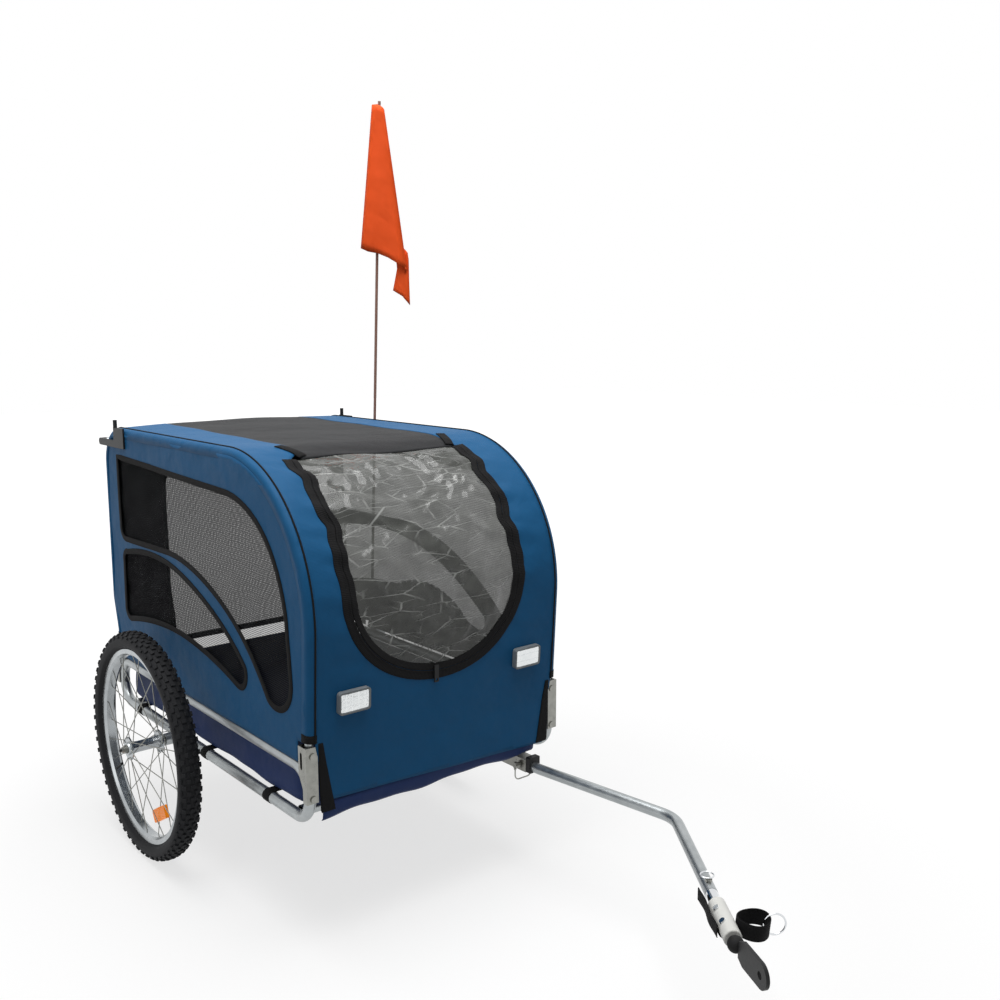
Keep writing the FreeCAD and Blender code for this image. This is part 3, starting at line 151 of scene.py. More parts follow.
def add_node(tree, kind, sockets=None, **settings):
    """Add one node, set its properties and feed its sockets."""
    made = tree.nodes.new(kind)
    for key, value in settings.items():
        setattr(made, key, value)
    feed(tree, made, sockets or {})
    return made


def coords(tree, kind):
    return add_node(tree, "ShaderNodeTexCoord").outputs[kind]


def combine(tree, operation, *values):
    return add_node(tree, "ShaderNodeMath", dict(enumerate(values)), operation=operation).outputs[0]


def ranged(tree, value, span=(0, 1), to=(0, 1)):
    """A value carried from one span to another."""
    spans = {"From Min": span[0], "From Max": span[1], "To Min": to[0], "To Max": to[1]}
    return add_node(tree, "ShaderNodeMapRange", {"Value": value, **spans}).outputs[0]


def mixed(tree, share, first, second):
    """A colour between two, each written in hex or taken from a socket."""
    first, second = (linear(c) if isinstance(c, str) else c for c in (first, second))
    return add_node(tree, "ShaderNodeMixRGB", {"Fac": share, "Color1": first, "Color2": second}).outputs[0]


def blotches(tree, place, length, detail, **more):
    """Noise with blotches about so many millimetres across."""
    sockets = {"Vector": place, "Scale": 1 / (length * MM), "Detail": detail, **more}
    return add_node(tree, "ShaderNodeTexNoise", sockets).outputs["Fac"]


def bands(tree, place, pitch, way, more):
    """Straight bands that repeat every so many millimetres."""
    sockets = {"Vector": place, "Scale": WAVE_PERIOD / (pitch * MM), **more}
    return add_node(tree, "ShaderNodeTexWave", sockets, bands_direction=way).outputs["Fac"]


def crossed(tree, place, pitch, more):
    """Two crossing sets of bands, the higher of them at each place."""
    return combine(tree, "MAXIMUM", *(bands(tree, place, pitch, way, more) for way in "XY"))


def bumped(tree, height, strength, depth):
    sockets = {"Height": height, "Strength": strength, "Distance": depth}
    return add_node(tree, "ShaderNodeBump", sockets).outputs[0]


def new_finish(name):
    material = bpy.data.materials.new(name)
    material.use_nodes = True
    return material, material.node_tree


def dress(tree, **sockets):
    """Feed the material's shader; an underscore stands for the space in a socket's name."""
    named = {key.replace("_", " "): value for key, value in sockets.items()}
    feed(tree, tree.nodes["Principled BSDF"], named)


print("node helpers ready")

# %% [markdown]
# The trailer stands on a pale floor in soft studio light. One wide lamp hangs overhead, because the
# photograph's roof and hoop edges are four times as bright as its upright cloth, and a pale world fills
# the shadows. What the camera, metal and glass see of the world and the floor is plain white.

# %% Floor and light
FILL_STRENGTH = 0.22
FLOOR_GLOW = (0.7, 1.0)
FLOOR_REACH = (0.9, 3.6)
FLOOR_HALF = 14.0


def where_seen(tree, unseen, seen_level):
    """One level for rays that show the surroundings, another for those that only light the trailer."""
    paths = add_node(tree, "ShaderNodeLightPath")
    seen = combine(tree, "MAXIMUM", paths.outputs["Is Camera Ray"], paths.outputs["Is Glossy Ray"])
    seen = combine(tree, "MAXIMUM", seen, paths.outputs["Is Transmission Ray"])
    return ranged(tree, seen, to=(unseen, seen_level))


def lamp(name, place, target, width, power):
    light = bpy.data.lights.new(name, "AREA")
    light.size = width
    light.energy = power
    made = put(name, light)
    made.location = place
    made.rotation_euler = (Vector(target) - Vector(place)).to_track_quat("-Z", "Y").to_euler()


world = bpy.data.worlds.new("studio")
bpy.context.scene.world = world
world.use_nodes = True
sky = world.node_tree
feed(sky, sky.nodes["Background"], {"Color": WHITE, "Strength": where_seen(sky, FILL_STRENGTH, 1.0)})

paper, paper_tree = new_finish("pale_paper")
away = add_node(paper_tree, "ShaderNodeVectorMath", {0: coords(paper_tree, "Object")}, operation="LENGTH")
glow = ranged(paper_tree, away.outputs["Value"], FLOOR_REACH, FLOOR_GLOW)
shown = combine(paper_tree, "MULTIPLY", glow, where_seen(paper_tree, 0.0, 1.0))
dress(paper_tree, Roughness=0.9, Base_Color=linear("#949494"), Emission_Color=WHITE, Emission_Strength=shown)
floor_mesh = bmesh.new()
bmesh.ops.create_grid(floor_mesh, x_segments=1, y_segments=1, size=FLOOR_HALF)
floor_data = bpy.data.meshes.new("floor")
floor_mesh.to_mesh(floor_data)
floor_mesh.free()
floor_data.materials.append(paper)
floor = put("floor", floor_data)
lamp("overhead", (-0.2, 0.0, 3.4), (0, 0.4, 0.6), width=2.6, power=100)
lamp("side_fill", (-3.2, -0.6, 1.8), (0, 0.3, 0.5), width=1.8, power=8)
print("floor and two lamps")

# %% [markdown]
# The cabin is sewn from coated polyester, woven from 600 denier yarn. Close up it is a plain weave of
# shiny threads half a millimetre apart, which this picture can't show, so the threads are drawn 2.4 mm
# apart. From a step away it is a satin cloth with faint lighter and darker patches. Its pattern reads the
# flat cut's own coordinates, so the threads follow the cloth over every bend.

# %% Woven polyester
THREAD = 2.4
CLOTH_PATCH = 70.0
SLACK_PATCH = 55.0
SLACK_DEPTH = 24.0


def woven(name, colour, shade, thread, roughness):
    """Plain-weave cloth: two crossing sets of threads for bump, soft patches for colour."""
    material, tree = new_finish(name)
    flat = coords(tree, "UV")
    threads = crossed(tree, flat, thread, {"Distortion": 0.6})
    patches = blotches(tree, flat, CLOTH_PATCH, detail=6.0)
    soft = blotches(tree, flat, SLACK_PATCH, detail=2.0, Roughness=0.4)
    height = combine(tree, "MULTIPLY_ADD", soft, SLACK_DEPTH, threads)
    dress(tree, Roughness=roughness, Specular_IOR_Level=0.16,
          Normal=bumped(tree, height, strength=0.35, depth=0.0006),
          Base_Color=mixed(tree, threads, mixed(tree, patches, shade, colour), colour))
    return material


finish["blue_cloth"] = woven("blue_polyester", "#165886", "#124b74", THREAD, 0.55)
finish["navy_cloth"] = woven("navy_polyester", "#263a6a", "#1c2c55", THREAD, 0.55)
finish["black_cloth"] = woven("black_polyester", "#222325", "#191a1c", THREAD, 0.6)
finish["lining"] = woven("black_lining", "#121314", "#0c0d0d", THREAD, 0.8)
print("cloth finishes", [m.name for m in finish.values()])

# %% [markdown]
# The pennant is thin dyed nylon in a bright orange, with a finer weave. Webbing is nylon tape woven in
# ribs across its length; its ribs are about 2 mm apart, coarse enough to show. The zip's coil is drawn in
# the same way.

# %% Pennant nylon and webbing
finish["pennant"] = woven("orange_nylon", "#ff5f26", "#f55216", 1.8, 0.55)


def ribbed_tape(name, colour, shade, rib):
    material, tree = new_finish(name)
    ribs = bands(tree, coords(tree, "UV"), rib, "X", {"Distortion": 0.3})
    dress(tree, Roughness=0.75, Specular_IOR_Level=0.12, Base_Color=mixed(tree, ribs, shade, colour),
          Normal=bumped(tree, ribs, strength=0.6, depth=0.0008))
    return material


finish["webbing"] = ribbed_tape("nylon_webbing", "#19191a", "#0c0c0d", 2.0)
finish["zip_teeth"] = ribbed_tape("zip_coil", "#1f1f20", "#0a0a0b", 3.2)
print("tape finishes ready")

# %% [markdown]
# The side windows are warp-knit net: holes of a millimetre or so, drawn 4 mm apart here so that they
# show. The yarn covers a little over half, so daylight through both sides of the cabin reads as grey.

# %% Window net
NET_PITCH = 4.0
NET_COVER = (0.36, 0.84)
NET_WANDER = {"Distortion": 1.5, "Detail": 1.0, "Detail Scale": 0.3}
net, net_tree = new_finish("warp_knit_net")
yarn = crossed(net_tree, coords(net_tree, "UV"), NET_PITCH, NET_WANDER)
dress(net_tree, Roughness=0.8, Specular_IOR_Level=0.1, Alpha=ranged(net_tree, yarn, (0.35, 0.8), NET_COVER),
      Base_Color=mixed(net_tree, yarn, "#151617", "#252628"))
finish["net"] = net
print("net pitch", NET_PITCH, "mm")

# %% [markdown]
# The door is clear soft vinyl film, hazy and a little grey. Where it was folded it has long straight
# creases, a millimetre or two wide, that meet in points as they do in crumpled foil. Each set of creases
# is the edges of stretched cells, turned its own way and faded out in patches. Along them the film is
# painted whiter and less clear: partly the whitening of stretched vinyl, partly painted highlights that
# stand in for reflections off the folds.

# %% Clear vinyl
CREASES = [(24, 150, 44, 0.03), (-38, 120, 34, 0.035), (70, 70, 26, 0.05)]
CREASE_SHIFT = (0.37, 0.53, 0.0)
CREASE_PATCH = (0.48, 0.72)
CREASE_HIGHLIGHT_COVER = (0.92, 0.92, 0.92, 1)
HAZE_COVER = (0.68, 0.88)
CLOUD = 75.0
film, film_tree = new_finish("clear_vinyl")
film_flat = coords(film_tree, "UV")


def crease_highlight_lines(number, turn, long, wide, line):
    """One set of creases: the edges of cells so long and wide in millimetres, turned by some degrees."""
    cells_at = {"Vector": film_flat, "Location": [number * shift for shift in CREASE_SHIFT],
                "Rotation": (0, 0, math.radians(turn)), "Scale": (1 / (long * MM), 1 / (wide * MM), 1)}
    placed = add_node(film_tree, "ShaderNodeMapping", cells_at).outputs[0]
    cells = add_node(film_tree, "ShaderNodeTexVoronoi", {"Vector": placed, "Scale": 1.0},
                     feature="DISTANCE_TO_EDGE", voronoi_dimensions="2D")
    fade = add_node(film_tree, "ShaderNodeTexNoise", {"Vector": placed, "Scale": 0.9, "Detail": 1.0})
    thin = ranged(film_tree, cells.outputs["Distance"], (0, line), (1, 0))
    return combine(film_tree, "MULTIPLY", thin, ranged(film_tree, fade.outputs["Fac"], CREASE_PATCH))


crease_and_highlight = crease_highlight_lines(0, *CREASES[0])
for number in range(1, len(CREASES)):
    crease_and_highlight = combine(film_tree, "MAXIMUM", crease_and_highlight, crease_highlight_lines(number, *CREASES[number]))
cloud = blotches(film_tree, film_flat, CLOUD, detail=3.0)
haze = ranged(film_tree, cloud, (0.3, 0.7), HAZE_COVER)
# Along the crease lines the film is painted whiter and more opaque: partly the whitening of stretched vinyl,
# partly painted highlights for reflections off the folds.
dress(film_tree, Roughness=0.2, Alpha=mixed(film_tree, crease_and_highlight, haze, CREASE_HIGHLIGHT_COVER),
      Base_Color=mixed(film_tree, crease_and_highlight, "#4b4d49", "#a9aba8"),
      Normal=bumped(film_tree, cloud, strength=0.4, depth=0.01))
finish["clear_film"] = film
print("vinyl ready")

# %% [markdown]
# The tubes are zinc-plated steel: a satin grey metal with slightly streaky plating. Rims and hubs are
# polished aluminium, the hitch's inner tube and rings are chromed. Metals keep the default IOR; what
# differs is how rough they are and how cloudy the plating is.

# %% Metals
def plated(name, colour, shade, roughness, cloud, spread):
    """A metal whose colour and roughness vary in clouds of the given size."""
    material, tree = new_finish(name)
    clouds = blotches(tree, coords(tree, "Object"), cloud, detail=5.0)
    dress(tree, Metallic=1.0, Base_Color=mixed(tree, clouds, shade, colour),
          Roughness=ranged(tree, clouds, to=(roughness - spread, roughness + spread)))
    return material


finish["frame_tube"] = plated("zinc_plated_tube", "#b9bdbe", "#8f9496", 0.36, 30, 0.08)
finish["steel"] = plated("zinc_plated_steel", "#a3a39d", "#777874", 0.3, 12, 0.1)
finish["alloy"] = plated("polished_aluminium", "#bcc0c2", "#94999c", 0.24, 25, 0.06)
finish["chrome"] = plated("chromed_steel", "#e6e8ea", "#d2d5d8", 0.1, 20, 0.04)
print("metals ready")

# %% [markdown]
# Plastic pieces are injection moulded: ABS for the black fittings, nylon for the white sleeve. Their
# skins carry a fine grain. Rubber is duller and has a coarser, dusty skin. The clear reflector has
# mirrored prisms, and the amber one has a faint painted glow, an emission that stands in for the light
# a reflector sends back.

# %% Plastics and rubber
MARKS = 25.0
MIRRORED = 0.85
# Strength of the amber lens's painted glow.
PAINTED_GLOW = 0.3


def moulded(name, colour, shade, roughness, grain, depth, **more):
    """A moulded skin: fine grain in the bump, faint handling marks in the colour."""
    material, tree = new_finish(name)
    place = coords(tree, "Object")
    skin = blotches(tree, place, grain, detail=2.0)
    marks = blotches(tree, place, MARKS, detail=5.0)
    dress(tree, Roughness=roughness, Specular_IOR_Level=0.25, Base_Color=mixed(tree, marks, shade, colour),
          Normal=bumped(tree, skin, strength=0.4, depth=depth), **more)
    return material


finish["black_plastic"] = moulded("black_abs", "#17181a", "#0f1011", 0.42, 1.5, 0.0003)
finish["white_plastic"] = moulded("white_nylon", "#e8e8e4", "#d9d9d4", 0.38, 2.0, 0.0003)
finish["rubber"] = moulded("black_rubber", "#151516", "#0c0c0d", 0.7, 2.0, 0.0005)
finish["tyre"] = moulded("tyre_rubber", "#1f2023", "#131416", 0.72, 3.0, 0.0006)
finish["tube_rubber"] = moulded("butyl_rubber", "#202021", "#161617", 0.6, 2.0, 0.0003)
finish["fibreglass"] = moulded("tinted_fibreglass", "#a07a6c", "#8a6658", 0.35, 1.5, 0.0002)
finish["lens_frame"] = moulded("grey_abs", "#8f9496", "#777b7e", 0.35, 1.5, 0.0003)
finish["lens_clear"] = moulded("clear_reflector", "#f4f6f6", "#dfe3e4", 0.12, 4.0, 0.0008, Metallic=MIRRORED)
# The amber lens is given a faint painted glow, standing in for the light a reflector sends back.
finish["lens_amber"] = moulded("amber_reflector", "#ff9a1f", "#f5820c", 0.15, 4.0, 0.0008,
                               Emission_Color=linear("#ff8c14"), Emission_Strength=PAINTED_GLOW)
print(len(finish), "finishes")

# %% [markdown]
# Every solid keeps its shape and takes the finish that the record names for it. The soft ones are hidden
# further down, where the piece that stands for them is made.

# %% Finishes on the solids
slot_of = {row["node"]: row["material_slot"] for row in frame["record"]["subparts"]}
for node, solid in frame["nodes"].items():
    solid.data.materials.clear()
    solid.data.materials.append(finish[slot_of[node]])
print("finished", len(slot_of), "solids")

# %% [markdown]
# New pieces all pass through one function: it turns a bmesh into an object at the origin, gives it its
# finishes and its ride, and hides the solids that it stands for. Cloth also gets its thickness, inwards,
# with its lining on the inner face.

# %% Piece helpers
STUFF = {"blue": (["blue_cloth", "lining"], "blue_cloth"),
         "black": (["black_cloth", "lining"], "black_cloth"),
         "navy": (["navy_cloth"], "navy_cloth"), "nylon": (["pennant"], "pennant"), "net": (["net"], "net"),
         "film": (["clear_film"], "clear_film"), "webbing": (["webbing"], "black_cloth"),
         "piping": (["lining"], "black_cloth"), "zip": (["zip_teeth"], None),
         "door_zip": (["zip_teeth"], "black_cloth"), "tyre": (["tyre"], "tyre"),
         "amber": (["lens_amber"], "lens_amber"), "clear": (["lens_frame", "lens_clear"], "lens_clear")}
COVER_REST = 365.0
DOOR_REST = 367.3


def folds_down(piece):
    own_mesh(piece)


def new_piece(name, bm, stuff, body, stands_for=(), smooth=True, thick=None, rest=None):
    """An object from a bmesh; thick is a cloth's thickness, and rest gives the piece a copy of its mesh."""
    finishes, slot = STUFF[stuff]
    mesh = bpy.data.meshes.new(name)
    bm.to_mesh(mesh)
    bm.free()
    for key in finishes:
        mesh.materials.append(finish[key])
    if smooth:
        mesh.shade_smooth()
    made = put(name, mesh)
    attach(made, body)
    if stands_for:
        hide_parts(*stands_for)
    if thick:
        wall = made.modifiers.new("thickness", "SOLIDIFY")
        wall.thickness = thick * MM
        wall.offset = -1
        wall.material_offset = len(finishes) - 1
        wall.use_even_offset = False
    if rest:
        folds_down(made)
    return made


def take_in(bm, other):
    """Move another bmesh's faces into this one."""
    spare = bpy.data.meshes.new("spare")
    other.to_mesh(spare)
    other.free()
    bm.from_mesh(spare)
    bpy.data.meshes.remove(spare)


def as_sheet(piece):
    """Read a cloth's flat cut from its UV map, which keeps it in metres."""
    mesh = piece.data
    flat = np.zeros(2 * len(mesh.loops))
    mesh.uv_layers["flat"].data.foreach_get("uv", flat)
    flat = flat.reshape(-1, 2)


print("piece helpers ready")

# %% [markdown]
# The tyres are 20 inch off-road ones: a round casing with staggered rubber knobs. The casing is a section
# spun round the axle. One pitch of knobs is made from blocks and spun as copies, as the mould's maker
# cuts them.

# %% Tyres
CASING = [(10.0, 204.2), (10.6, 210.5), (13.5, 212.0), (19.2, 216.0), (20.6, 217.4), (21.0, 219.4),
          (22.6, 225.0), (22.2, 231.5), (19.4, 237.6), (13.6, 241.6), (6.5, 243.4), (0.0, 243.8)]
CASING_STEPS = 120
CROWN_START = 7
PITCHES = 58
KNOBS = [(0.0, 0.0, 9.5, 7.5), (15.2, 0.0, 7.5, 9.0), (-15.2, 0.0, 7.5, 9.0), (7.6, 0.5, 7.6, 8.4),
         (-7.6, 0.5, 7.6, 8.4), (20.3, 0.5, 4.6, 9.5), (-20.3, 0.5, 4.6, 9.5)]
KNOB_HEIGHT = 6.0
KNOB_SUNK = 2.6
KNOB_LEAN = 2.6
KNOB_BEVEL = 0.7
BEVEL_FROM = 240.0


def casing_radius(across):
    spots = sorted(CASING[CROWN_START:])
    return float(np.interp(abs(across), [a for a, _ in spots], [r for _, r in spots]))


def tyre(side_name, side):
    hub = at(side * TRACK, 0, WHEEL_RADIUS)
    bm = bmesh.new()
    ring = CASING + [(-a, r) for a, r in reversed(CASING[:-1])]
    section = [bm.verts.new(hub + Vector((a, 0, r)) * MM) for a, r in ring]
    for first, last in zip(section, section[1:] + section[:1]):
        bm.edges.new((first, last))
    bmesh.ops.spin(bm, geom=bm.verts[:] + bm.edges[:], cent=hub, axis=(1, 0, 0), angle=2 * math.pi,
                   steps=CASING_STEPS, use_merge=True, use_duplicate=False)
    bmesh.ops.remove_doubles(bm, verts=bm.verts[:], dist=1e-6)
    bmesh.ops.recalc_face_normals(bm, faces=bm.faces[:])
    for face in bm.faces:
        face.smooth = True
    tread = bmesh.new()
    pitch = 2 * math.pi / PITCHES
    for across, phase, wide, long in KNOBS:
        lean = math.radians(across * KNOB_LEAN)
        turn = Matrix.Rotation(phase * pitch, 4, "X")
        top = casing_radius(across) + KNOB_HEIGHT / 2 - KNOB_SUNK
        place = turn @ Matrix.Translation((across * MM, 0, top * MM)) @ Matrix.Rotation(lean, 4, "Y")
        size = Matrix.Diagonal((wide * MM, long * MM, KNOB_HEIGHT * MM, 1))
        bmesh.ops.create_cube(tread, size=1, matrix=Matrix.Translation(hub) @ place @ size)
    upper = [e for e in tread.edges if min((v.co - hub).length for v in e.verts) / MM > BEVEL_FROM]
    bmesh.ops.bevel(tread, geom=upper, offset=KNOB_BEVEL * MM, affect="EDGES", segments=1, profile=0.5,
                    material=-1)
    bmesh.ops.spin(tread, geom=tread.verts[:] + tread.edges[:] + tread.faces[:], cent=hub, axis=(1, 0, 0),
                   angle=2 * math.pi - pitch, steps=PITCHES - 1, use_duplicate=True)
    take_in(bm, tread)
    made = new_piece(side_name + "_knobbly_tyre", bm, "tyre", side_name + "_wheel", [side_name + "_tyre"],
                     smooth=False)
    print(made.name, len(made.data.polygons), "faces")


for side_name, side in SIDES:
    tyre(side_name, side)

# %% [markdown]
# Each wheel has an amber reflector clipped among its spokes: a moulded lens with a raised frame and a
# field of small prisms. It starts as a block, its two broad faces are inset for the frame, and the field
# is cut in blocks. The front reflectors further down are made in the same way.

# %% Spoke reflectors
LENS_REACH = 150.0
LENS_SIZE = (8.6, 70.0, 28.0)
LENS_SWING = math.radians(-29)
LENS_BLOCKS = ((1, 9), (2, 4))
SMALLEST_PRISM = 18.0
FACING = 0.9


def framed_block(size, through, corner, shows, rim, step, index, blocks):
    """A block with rounded corners, a rim and a sunk field, cut across in so many blocks along each axis."""
    bm = bmesh.new()
    bmesh.ops.create_cube(bm, size=1, matrix=Matrix.Diagonal((*size, 1)))
    upright = [e for e in bm.edges if abs(e.verts[0].co[through] - e.verts[1].co[through]) > 1]
    bmesh.ops.bevel(bm, geom=upright, offset=corner, affect="EDGES", segments=4, profile=0.5, material=-1)
    field = [f for f in bm.faces if shows(f.normal)]
    bmesh.ops.inset_region(bm, faces=field, thickness=rim, depth=0)
    bmesh.ops.inset_region(bm, faces=field, thickness=step[0], depth=-step[1])
    for face in field:
        face.material_index = index
    for axis, count in blocks:
        way = Vector([float(axis == k) for k in range(3)])
        for k in range(1, count):
            bmesh.ops.bisect_plane(bm, geom=bm.verts[:] + bm.edges[:] + bm.faces[:],
                                   plane_co=way * (k / count - 0.5) * size[axis], plane_no=way)
    return bm


def spoke_lens(side_name, side):
    bm = framed_block(LENS_SIZE, through=0, corner=5.0, shows=lambda normal: abs(normal.x) > FACING, rim=2.2,
                      step=(0.8, 0.9), index=0, blocks=LENS_BLOCKS)
    prisms = [f for f in bm.faces if abs(f.normal.x) > FACING and f.calc_area() > SMALLEST_PRISM]
    bmesh.ops.inset_individual(bm, faces=prisms, thickness=1.2, depth=0.5)
    place = Matrix.Translation(at(side * TRACK, 0, WHEEL_RADIUS)) @ Matrix.Rotation(LENS_SWING, 4, "X")
    bmesh.ops.transform(bm, verts=bm.verts[:], matrix=place @ Matrix.Scale(MM, 4)
                        @ Matrix.Translation((0, 0, -LENS_REACH)))
    new_piece(side_name + "_amber_lens", bm, "amber", side_name + "_wheel", [side_name + "_spoke_reflector"],
              smooth=False)


for side_name, side in SIDES:
    spoke_lens(side_name, side)
print("spoke reflectors made")

# %% [markdown]
# The cover is cut flat and laid over the hoops, as a sailmaker would. First comes its side view: straight
# runs joined by round bends. A point of the flat cloth is given by its place across the trailer and its
# run along that outline, in millimetres.

# %% The cover's side view
def rounded(points, bends, step=5.0):
    """Straight runs through flat points with a tangent arc at each inner one, as closely spaced points."""
    line = [np.array(points[0], float)]
    for before, corner, after, bend in zip(points, points[1:], points[2:], bends):
        corner = np.array(corner, float)
        back = (np.array(before) - corner) / np.linalg.norm(np.array(before) - corner)
        ahead = (np.array(after) - corner) / np.linalg.norm(np.array(after) - corner)
        half_turn = (math.pi - math.acos(float(np.clip(back @ ahead, -1, 1)))) / 2
        reach = bend * math.tan(half_turn)
        inward = (back + ahead) / np.linalg.norm(back + ahead)
        centre = corner + inward * bend / math.cos(half_turn)
        steps = max(2, int(2 * half_turn * bend / step))
        first = corner + back * reach - centre
        last = corner + ahead * reach - centre
        for share in np.linspace(0, 1, steps + 1):
            spot = first * math.sin((1 - share) * 2 * half_turn) + last * math.sin(share * 2 * half_turn)
            line.append(centre + spot / math.sin(2 * half_turn))
    line.append(np.array(points[-1], float))
    dense = [line[0]]
    for first, last in zip(line, line[1:]):
        count = max(1, int(np.linalg.norm(last - first) / step))
        dense += [first + (last - first) * (k + 1) / count for k in range(count)]
    return np.array(dense)


def lengths(line):
    """How far along a line each of its points is."""
    return np.concatenate([[0], np.cumsum(np.linalg.norm(np.diff(line, axis=0), axis=1))])


HOOP_HALF = 288.0
FRONT = -564.0
REAR = 310.0
NEST = 20.0
NEST_HEIGHTS = (500.0, 425.0)
HOOP_TOP = 898.0
PIVOT = 380.0
LEAN = math.radians(3.7)
COVER = 9.8
NOSE = FRONT - (HOOP_TOP - PIVOT) * math.tan(LEAN) - COVER * math.tan(LEAN) - COVER / math.cos(LEAN)
TOP = HOOP_TOP + COVER
HEM = 362.0
SKIRT = FRONT - 12.8
SKIRT_FOOT = 235.0
TAIL = REAR + NEST + COVER
OUTLINE = [(SKIRT, SKIRT_FOOT), (SKIRT, HEM), (NOSE, TOP), (TAIL, TOP), (TAIL, NEST_HEIGHTS[0]),
           (REAR + COVER, NEST_HEIGHTS[1]), (REAR + COVER, HEM)]
BENDS = [60.0, 300.0, 85.0, 60.0, 60.0]
LEVEL = 0.01
profile = rounded(OUTLINE, BENDS)
run = lengths(profile)
tangent = np.gradient(profile, run, axis=0)
outward = np.column_stack([-tangent[:, 1], tangent[:, 0]])
crest = int(np.argmax(profile[:, 1] > TOP - LEVEL))
nose = int(np.argmin(profile[:, 0]))
brow = int(len(profile) - np.argmax(profile[::-1, 1] > TOP - LEVEL) - 1)


def run_front(z):
    return float(np.interp(z, profile[:crest + 1, 1], run[:crest + 1]))


def run_roof(y):
    return float(np.interp(y, profile[nose:brow + 1, 0], run[nose:brow + 1]))


def run_rear(z):
    return float(np.interp(-z, -profile[brow:, 1], run[brow:]))


print("cover runs", round(run[-1]), "mm from skirt to rear hem")

# %% [markdown]
# Between the hoops the cloth hangs free. Where the outline bends round the front it is drawn inwards a
# little, like a saddle, and at the rear the spreader bar crowns it. The door's zip is shorter than the
# cloth, so it lies in a shallow valley, wanders from side to side, and the cloth beside it puckers.

# %% The door's line
DOOR_RIGHT = 206.0
DOOR_LEFT = 190.0
DOOR_LOW = 485.0
DOOR_ROUND = 170.0
DOOR_TOP = run_roof(-384.0)
BEND_RUN = run_front(800.0)
STRAYS = ((4.5, 19, 0.7), (2.5, 9.5, 2.1))
STRAY_RUN = BEND_RUN + 40
STRAY_SPREAD = 150.0
LEFT_LAG = 30.0
FOOT_STEPS = 49
RISE_STEPS = 40


def swell(s, middle, spread):
    """1 at a run along the cover, fading to nothing on both sides of it."""
    return np.exp(-((s - middle) / spread) ** 2)


def wander(s):
    """How far the zip strays outwards at a run along the cover; only where the cloth bends."""
    swing = sum(far * np.sin(s / wave + phase) for far, wave, phase in STRAYS)
    return swing * swell(s, STRAY_RUN, STRAY_SPREAD)


def door_line(inset=0.0):
    """The door's open outline in the flat, from its right top corner round its foot to the left one."""
    spring = DOOR_LOW + DOOR_ROUND
    foot = []
    for angle in np.linspace(0, math.pi, FOOT_STEPS):
        height = spring - (DOOR_ROUND - inset) * math.sin(angle)
        half = (DOOR_RIGHT if angle < math.pi / 2 else DOOR_LEFT) - inset
        foot.append((-half * math.cos(angle), run_front(height)))
    rise = np.linspace(run_front(spring), DOOR_TOP, RISE_STEPS)
    right = [(-(DOOR_RIGHT - inset + wander(s)), s) for s in rise[::-1]]
    left = [(DOOR_LEFT - inset + wander(s + LEFT_LAG), s) for s in rise]
    return np.array(right[:-1] + foot + left[1:])


def nearest_on(points, loops):
    """For each flat point, the nearest place on the closed outlines and how far off it is."""
    starts = np.vstack(loops)
    way = np.vstack([np.roll(loop, -1, axis=0) for loop in loops]) - starts
    length = np.maximum((way ** 2).sum(1), 1e-9)
    share = np.clip(((points[:, None] - starts) * way).sum(2) / length, 0, 1)
    spots = starts + share[..., None] * way
    gaps = ((points[:, None] - spots) ** 2).sum(2)
    pick = gaps.argmin(1)
    rows = np.arange(len(points))
    return spots[rows, pick], np.sqrt(gaps[rows, pick])


zip_line = door_line()
print("door's zip", round(float(lengths(zip_line)[-1])), "mm long")

# %% [markdown]
# What the cloth does between the hoops is added up in one function, as a height over the hoops' outline.
# Waves are the product of two trains that cross at a slant, so that no two ripples look alike.

# %% How the cloth hangs
BEND_SPREAD = 250.0
BEND_SAG = 7.0
CROWN_RUN = run_roof(230.0)
CROWN_SPREAD = 300.0
CROWN = 6.0
ZIP_VALLEY = 7.0
ZIP_SPREAD = 260.0
VALLEY_WIDTH = 38.0
PUCKER_WIDTH = 34.0
PUCKERS = ((2.6, 14, 60, 0), (1.6, 7.3, 30, 2))
DRIFT = (1.8, (61, 83), (-140, 57))
EDGE_GRIP = 4.0


def ripples(u, v, height, first, second):
    """Two crossing trains of waves over flat places, each with its wave lengths along u and v."""
    return height * np.sin(u / first[0] + v / first[1]) * np.sin(u / second[0] + v / second[1])


def hang(flat):
    """How far the cloth stands out from the hoops' outline at each flat point; inwards is negative."""
    x, s = flat.T
    span = np.clip(1 - (x / HOOP_HALF) ** 2, 0, 1)
    lift = CROWN * swell(s, CROWN_RUN, CROWN_SPREAD) - BEND_SAG * swell(s, BEND_RUN, BEND_SPREAD)
    beside = nearest_on(flat, [zip_line])[1]
    pucker = sum(far * np.sin(s / run_wave + phase + x / wave) for far, run_wave, wave, phase in PUCKERS)
    zipped = np.exp(-beside / PUCKER_WIDTH) * pucker - ZIP_VALLEY * np.exp(-(beside / VALLEY_WIDTH) ** 2)
    zipped = zipped * swell(s, BEND_RUN, ZIP_SPREAD) * np.clip(span * EDGE_GRIP, 0, 1)
    return zipped + span * (lift + ripples(x, s, *DRIFT))


def on_cover(flat, lift=0.0):
    """Lay flat points (across, run) on the cover, so far above where it hangs."""
    x, s = flat.T
    base = np.column_stack([np.interp(s, run, profile[:, k]) for k in (0, 1)])
    out = np.column_stack([np.interp(s, run, outward[:, k]) for k in (0, 1)])
    return to_row(np.column_stack([x, base + out * (lift + hang(flat))[:, None]]))


print("cloth sags up to", BEND_SAG, "mm where it bends")

# %% [markdown]
# Cutting cloth: a grid of small cells is laid flat, the cells outside the outline are deleted, the
# vertices left on the edge are drawn onto the outline, and then every vertex is laid where it hangs. The
# flat place is kept as the UV map, so the weave runs true. Strips such as tape are grids too, laid row by
# row.

